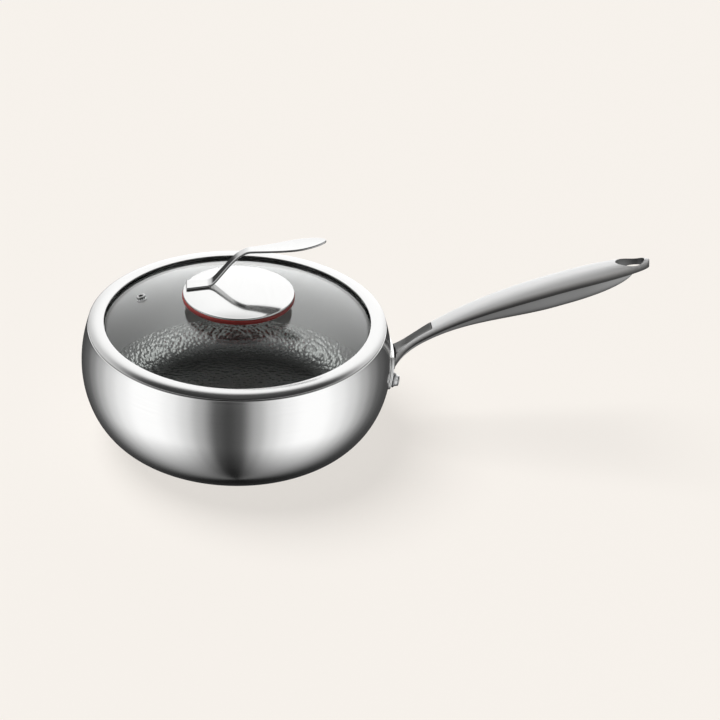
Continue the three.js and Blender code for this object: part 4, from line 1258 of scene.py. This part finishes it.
class SAUCEPAN_OT_knob(bpy.types.Operator):
    """Red base, polished plate and the bent leaf"""

    bl_idname = "saucepan.knob"
    bl_label = "Knob"

    def execute(self, context):
        scene = context.scene
        knob, levels = scene.knob_sizes, Levels(scene)
        rim = knob.radius + knob.base_proud
        bore = knob.insert_radius + SEAM
        low, high = levels.knob_bottom, levels.plate_bottom
        foot = low - knob.boss_height
        turn = knob.base / 3
        profile = np.concatenate([
            rounded([
                (bore, high - 1 * MM), (bore, foot), (knob.boss_radius, foot), (knob.boss_radius, low),
                (rim - turn, low),
            ], radius=0.4 * MM, closed=False),
            quad((rim - turn, low), (rim, low), (rim, low + turn), 8),
            quad((rim, high - 2 * knob.base_proud), (rim, high), (rim - 2 * knob.base_proud, high), 6),
            [(bore + 0.4 * MM, high), (bore, high - 0.4 * MM)],
        ])
        base = turned("knob_base_fine", profile, KNOB_FACETS)
        red = silicone("red_rubber", scene.finishes.red, 0.4)
        finish_piece(base, "lid", "knob_base", "red_silicone", red)

        top = levels.plate_top
        turn = knob.plate / 2
        flat, crown = knob.radius - turn, top + knob.crown
        profile = np.concatenate([
            rounded([
                (0, high), (1 * MM, high), (knob.radius, high), (knob.radius, top - turn),
            ], closed=False),
            quad((knob.radius, top - turn), (knob.radius, top), (flat, top), 8),
            quad((flat, top), (flat / 2, crown), (0, crown), 40)[1:],
        ])
        plate = turned("knob_plate_fine", profile, KNOB_FACETS)
        finish_piece(plate, "lid", "knob_plate", "polished_steel", polished(scene))
        leaf = self.leaf(knob, levels)
        finish_piece(leaf, "lid", "knob_leaf", "polished_steel", polished(scene))
        return {"FINISHED"}

    @staticmethod
    def leaf(knob, levels):
        """A flat section with rounded edges carried along the strip's underside: a foot along the dome, a
        steep neck and a leaf that rises to its tip. Its half width draws in from foot to neck and ends in
        an ellipse."""
        foot_end = math.sqrt(knob.radius ** 2 - (knob.leaf_offset + knob.foot_half_width) ** 2)
        corner = -foot_end + knob.foot_length
        neck_end = corner + knob.neck_run
        turn = 0.18 * knob.neck_run
        ease = 0.42 * knob.neck_run
        nearest = max(0.0, knob.leaf_offset - knob.foot_half_width)
        flat = knob.radius - knob.plate / 2

        def foot(x):
            """Height of the dome, a parabola, at the strip's edge nearest the middle."""
            return levels.plate_top + knob.crown * (1 - (x ** 2 + nearest ** 2) / flat ** 2) + 0.02 * MM

        start, stop = -foot_end, corner - turn
        middle = (start + stop) / 2
        swing = 2 * foot(middle) - (foot(start) + foot(stop)) / 2
        low = foot(stop) + (foot(stop) - swing) / (stop - middle) * turn
        top = levels.plate_top + knob.neck_height
        rise = (top - low) / knob.neck_run
        tip_pull = (neck_end + 0.5 * (knob.reach - neck_end), top + 0.25 * knob.tip_rise)
        shoulder = (neck_end + 2 * turn, top + 0.05 * knob.tip_rise)
        path = without_doubles(np.concatenate([
            quad((start, foot(start)), (middle, swing), (stop, foot(stop)), 14),
            quad((stop, foot(stop)), (corner, low), (corner + turn, low + turn * rise), 14),
            line((corner + turn, low + turn * rise), (neck_end - ease, top - ease * rise), 16),
            quad((neck_end - ease, top - ease * rise), (neck_end, top), shoulder, 24),
            quad(shoulder, tip_pull, (knob.reach, top + knob.tip_rise), 240),
        ]))
        x = path[:, 0]
        way = np.gradient(path, axis=0)
        slope = np.arctan2(way[:, 1], way[:, 0])
        drawn_in = smooth((x + foot_end) / (neck_end + foot_end))
        narrow = lerp(knob.foot_half_width, knob.neck_half_width, drawn_in)
        along = (x - neck_end) / (knob.reach - neck_end)
        swell = lerp(knob.neck_half_width, knob.leaf_half_width, smooth(along / 0.75))
        blunt = np.sqrt(np.maximum(1 - np.clip((along - 0.6) / 0.4, 0, 1) ** 2, 0.003))
        half = np.where(x < neck_end, narrow, swell * blunt)
        spoon = knob.spoon * smooth((x - neck_end) / knob.reach * 2)
        # Section: two flat sides joined by half rounds, as a share of half width and a height
        bevel = knob.leaf_thickness / 2
        flat = np.linspace(-1, 1, 25)
        arc = np.linspace(-math.pi / 2, math.pi / 2, 9)
        reach = np.maximum(half - bevel, 0.15 * half)
        edge = np.minimum(half - reach, bevel)
        parts = [flat * reach[:, None], reach[:, None] + edge[:, None] * np.cos(arc)[1:-1]]
        lifts = [np.zeros(25), bevel + bevel * np.sin(arc)[1:-1]]
        across = np.concatenate([parts[0], parts[1], -parts[0], -parts[1]], axis=1)
        up = np.concatenate([lifts[0], lifts[1], lifts[0] + 2 * bevel, lifts[1][::-1]])
        hollow = (across / half[:, None]) ** 2 - 1
        up = up + spoon[:, None] * hollow * (half / knob.leaf_half_width)[:, None]
        rows = np.stack([
            x[:, None] - np.sin(slope)[:, None] * up,
            knob.leaf_offset + across,
            path[:, 1:] + np.cos(slope)[:, None] * up,
        ], axis=-1)
        return lofted("knob_leaf_fine", rows)


class SAUCEPAN_OT_knob_fixings(bpy.types.Operator):
    """Threaded boss, gasket, washer and screw that hold the knob"""

    bl_idname = "saucepan.knob_fixings"
    bl_label = "Knob fixings"

    def execute(self, context):
        scene = context.scene
        knob, levels = scene.knob_sizes, Levels(scene)
        steel = fastener(scene)
        foot = levels.knob_bottom - knob.boss_height
        bore = knob.screw_radius + HOLE_CLEARANCE

        def ring(inner, outer, bottom, top):
            return rounded([(inner, bottom), (outer, bottom), (outer, top), (inner, top)], radius=0.2 * MM)

        insert = ring(knob.screw_radius + SEAM, knob.insert_radius, foot, levels.plate_bottom)
        gasket = ring(bore, knob.washer_radius, levels.gasket_top - knob.gasket, levels.gasket_top)
        washer = ring(bore, knob.washer_radius, levels.washer_top - knob.washer, levels.washer_top)
        dark = silicone("dark_rubber", scene.finishes.dark, 0.5)
        for node, profile, slot, look in (
            ("knob_insert", insert, "fastener_steel", steel),
            ("knob_gasket", gasket, "dark_silicone", dark),
            ("knob_washer", washer, "fastener_steel", steel),
        ):
            finish_piece(turned(node + "_fine", profile, SMALL_FACETS), "lid", node, slot, look)

        top = levels.screw_top
        bottom = top - knob.screw_head_height
        head = knob.screw_head
        dome = quad((0, bottom), (head, bottom), (head, top - 0.3 * MM), 40)
        shank = rounded([
            (head, top - 0.3 * MM), (head, top), (knob.screw_radius, top),
            (knob.screw_radius, levels.plate_bottom - SEAM), (0, levels.plate_bottom - SEAM),
        ], radius=0.15 * MM, closed=False)

        def recess(body, bearing):
            """Cross recess: two slots whose depth fades over a tenth of a millimetre."""
            x = body[:, :1] * np.cos(bearing)
            y = body[:, :1] * np.sin(bearing)

            def slot(across, along):
                width = smooth((RECESS_HALF_WIDTH - np.abs(across)) / RECESS_FADE + 0.5)
                return width * smooth((RECESS_REACH - np.abs(along)) / RECESS_FADE)

            low = body[:, 1:] < top - 0.5 * MM
            return -RECESS_DEPTH * np.maximum(slot(x, y), slot(y, x)) * low

        screw = turned("knob_screw_fine", np.concatenate([dome, shank]), 2 * SMALL_FACETS, dents=recess)
        finish_piece(screw, "lid", "knob_screw", "fastener_steel", steel)
        return {"FINISHED"}


# Stage


def stops(ramp, values):
    """Sets a ramp's stops from (degrees, grey) pairs over a full turn."""
    ramp.interpolation = "EASE"
    while len(ramp.elements) > 1:
        ramp.elements.remove(ramp.elements[-1])
    for number, (degrees, grey) in enumerate(values):
        element = ramp.elements[0] if number == 0 else ramp.elements.new(degrees / 360)
        element.position = degrees / 360
        element.color = (grey, grey, grey, 1)


# Brightness low down round the pot, in degrees anticlockwise from the camera's side
LOW_STUDIO = (
    (0, 0.05), (8, 0.08), (20, 0.4), (30, 0.68), (40, 0.88), (52, 1.0), (68, 1.0), (82, 0.84), (94, 0.64),
    (107, 0.4), (118, 0.22), (130, 0.1), (146, 0.06), (180, 0.05), (214, 0.06), (230, 0.1), (242, 0.22),
    (253, 0.4), (266, 0.64), (278, 0.84), (292, 1.0), (308, 1.0), (320, 0.88), (330, 0.68), (340, 0.4),
    (352, 0.08), (360, 0.05),
)


def studio_world(scene):
    """Studio round the pot: pale walls that dim on the camera's side, a bright backdrop behind the pot
    that reaches further down, a dark ceiling that leans to the back, and low down a ring of light and
    dark sides that fades under the pot. The camera sees the plain background, and diffuse rays get a
    share of the studio's light."""
    world = bpy.data.worlds.new("studio")
    scene.world = world
    world.use_nodes = True
    nodes = Nodes(world.node_tree)
    way = nodes.add("TexCoord").outputs["Generated"]
    parts = nodes.add("SeparateXYZ", {0: way}).outputs
    stage = scene.stage_settings
    towards = math.radians(-90) - stage.heading
    bearing = nodes.math("ARCTAN2", parts[1], parts[0])
    turn = nodes.math("FRACT", nodes.math("DIVIDE", nodes.math("SUBTRACT", bearing, towards), TURN))
    low = nodes.add("ValToRGB", {0: turn})
    stops(low.color_ramp, LOW_STUDIO)
    low_value = nodes.math("MULTIPLY", low.outputs[0], nodes.spread(parts[2], 0.12, 1.12, -1.0, -0.62))

    aside = nodes.math("ABSOLUTE", nodes.math("SUBTRACT", turn, 0.5))
    open_side = nodes.spread(aside, 1.0, FRONT_GAP, 100 / 360, 135 / 360, "SMOOTHSTEP")
    tilt = stage.ceiling_tilt
    axis = (-math.cos(towards) * math.sin(tilt), -math.sin(towards) * math.sin(tilt), math.cos(tilt))
    facing = nodes.add("VectorMath", {0: way, 1: axis}, operation="DOT_PRODUCT").outputs["Value"]
    rim = math.cos(stage.ceiling)
    below, above = rim - CEILING_SOFTNESS, rim + CEILING_SOFTNESS
    wall = nodes.spread(facing, 1.0, CEILING_GREY, below, above, "SMOOTHSTEP")
    behind = nodes.spread(aside, 1.0, 0.0, 10 / 360, 42 / 360, "SMOOTHSTEP")
    backdrop = nodes.spread(behind, 1.0, BACKDROP_GAIN)
    high_value = nodes.math("MULTIPLY", nodes.math("MULTIPLY", open_side, wall), backdrop)

    level = nodes.math("ADD", parts[2], nodes.spread(behind, 0.0, BACKDROP_DROP))
    over = nodes.spread(level, 0.0, 1.0, 0.03, 0.28, "SMOOTHSTEP")
    high_part = nodes.math("MULTIPLY", high_value, over)
    low_part = nodes.math("MULTIPLY", low_value, nodes.math("SUBTRACT", 1.0, over))
    light = nodes.math("ADD", high_part, low_part)
    lights = nodes.add("LightPath").outputs
    strength = nodes.spread(lights["Is Diffuse Ray"], 1.0, DIFFUSE_SHARE)
    studio = nodes.add("Background", {0: light, 1: strength})
    plain = nodes.add("Background", {0: (*stage.floor, 1), 1: 1.0})
    mixed = nodes.add("MixShader", {0: lights["Is Camera Ray"], 1: studio.outputs[0], 2: plain.outputs[0]})
    nodes.add("OutputWorld", {0: mixed.outputs[0]})


def floor_material(stage):
    """Plain pale paper: most of its brightness is its own for the camera, the rest is lit and keeps
    shadows."""
    made, nodes = material("floor_paper")
    grain = nodes.noise(nodes.add("TexCoord").outputs["Object"], 300.0, 2.0)
    lit = nodes.add("BsdfDiffuse", {"Color": nodes.between(grain, tinted(stage.floor, 0.985), stage.floor)})
    glow = nodes.add("Emission", {"Color": (*stage.floor, 1), "Strength": 1.0})
    seen = nodes.math("MULTIPLY", nodes.add("LightPath").outputs["Is Camera Ray"], FLOOR_GLOW)
    mixed = nodes.add("MixShader", {0: seen, 1: lit.outputs[0], 2: glow.outputs[0]})
    nodes.add("OutputMaterial", {0: mixed.outputs[0]})
    return made


class SAUCEPAN_OT_stage(bpy.types.Operator):
    """Floor, soft lamp, studio world and camera"""

    bl_idname = "saucepan.stage"
    bl_label = "Stage"

    def execute(self, context):
        scene = context.scene
        stage = scene.stage_settings
        scene.view_settings.view_transform = "Standard"
        studio_world(scene)

        mesh = bpy.data.meshes.new("floor")
        signs = ((-1, -1), (1, -1), (1, 1), (-1, 1))
        corners = [(x * FLOOR_HALF, y * FLOOR_HALF, FLOOR_LEVEL) for x, y in signs]
        mesh.from_pydata(corners, [], [(0, 1, 2, 3)])
        floor = bpy.data.objects.new("floor", mesh)
        scene.collection.objects.link(floor)
        mesh.materials.append(floor_material(stage))
        floor.visible_glossy = False

        lamp = bpy.data.lights.new("soft_lamp", "SUN")
        lamp.energy = stage.lamp
        lamp.angle = LAMP_SPREAD
        lamp_object = bpy.data.objects.new("soft_lamp", lamp)
        lamp_object.rotation_euler = Vector(LAMP_WAY).to_track_quat("-Z", "Y").to_euler()
        lamp_object.visible_glossy = False
        lamp_object.visible_transmission = False
        scene.collection.objects.link(lamp_object)

        camera = bpy.data.cameras.new("camera")
        camera.lens = stage.lens
        camera.sensor_width = FILM_WIDTH
        camera.clip_end = 50.0
        holder = bpy.data.objects.new("camera", camera)
        scene.collection.objects.link(holder)
        holder.matrix_world = self.view(stage)
        scene.camera = holder
        return {"FINISHED"}

    @staticmethod
    def view(stage):
        """Camera matrix: look down by the elevation, roll about the axis, step back by the distance and
        aside by the aims, and turn the whole about the pot by the heading."""
        ahead = Vector((0, math.cos(stage.elevation), -math.sin(stage.elevation)))
        right = Vector((1, 0, 0))
        up = right.cross(ahead)
        across = math.cos(stage.roll) * right - math.sin(stage.roll) * up
        above = math.sin(stage.roll) * right + math.cos(stage.roll) * up
        place = across * stage.aim_right + above * stage.aim_up - ahead * stage.distance
        columns = Matrix((across, above, -ahead)).transposed().to_4x4()
        columns.translation = place
        return Matrix.Rotation(-stage.heading, 4, "Z") @ columns


OPERATORS = (
    SAUCEPAN_OT_stage,
    SAUCEPAN_OT_pot_shell,
    SAUCEPAN_OT_bonded_base,
    SAUCEPAN_OT_handle_bracket,
    SAUCEPAN_OT_rivets,
    SAUCEPAN_OT_handle,
    SAUCEPAN_OT_lid_band,
    SAUCEPAN_OT_lid_glass,
    SAUCEPAN_OT_knob,
    SAUCEPAN_OT_knob_fixings,
)


class SAUCEPAN_PT_panel(bpy.types.Panel):
    """Lists the sizes, the finishes and the pieces"""

    bl_idname = "SAUCEPAN_PT_panel"
    bl_label = "Saucepan"
    bl_space_type = "VIEW_3D"
    bl_region_type = "UI"
    bl_category = "Saucepan"

    def draw(self, context):
        for operator in OPERATORS:
            self.layout.operator(operator.bl_idname)
        for name, group in GROUPS.items():
            box = self.layout.box()
            box.label(text=name.replace("_", " "))
            for prop in group.__annotations__:
                box.prop(getattr(context.scene, name), prop)


CLASSES = (*GROUPS.values(), *OPERATORS, SAUCEPAN_PT_panel)


def register():
    for item in CLASSES:
        bpy.utils.register_class(item)
    for name, group in GROUPS.items():
        setattr(bpy.types.Scene, name, PointerProperty(type=group))


def unregister():
    for name in GROUPS:
        delattr(bpy.types.Scene, name)
    for item in reversed(CLASSES):
        bpy.utils.unregister_class(item)


def main():
    register()
    bpy.ops.saucepan.stage()
    bpy.ops.saucepan.pot_shell()
    bpy.ops.saucepan.bonded_base()
    bpy.ops.saucepan.handle_bracket()
    bpy.ops.saucepan.rivets()
    bpy.ops.saucepan.handle()
    bpy.ops.saucepan.lid_band()
    bpy.ops.saucepan.lid_glass()
    bpy.ops.saucepan.knob()
    bpy.ops.saucepan.knob_fixings()


if __name__ == "__main__":
    main()
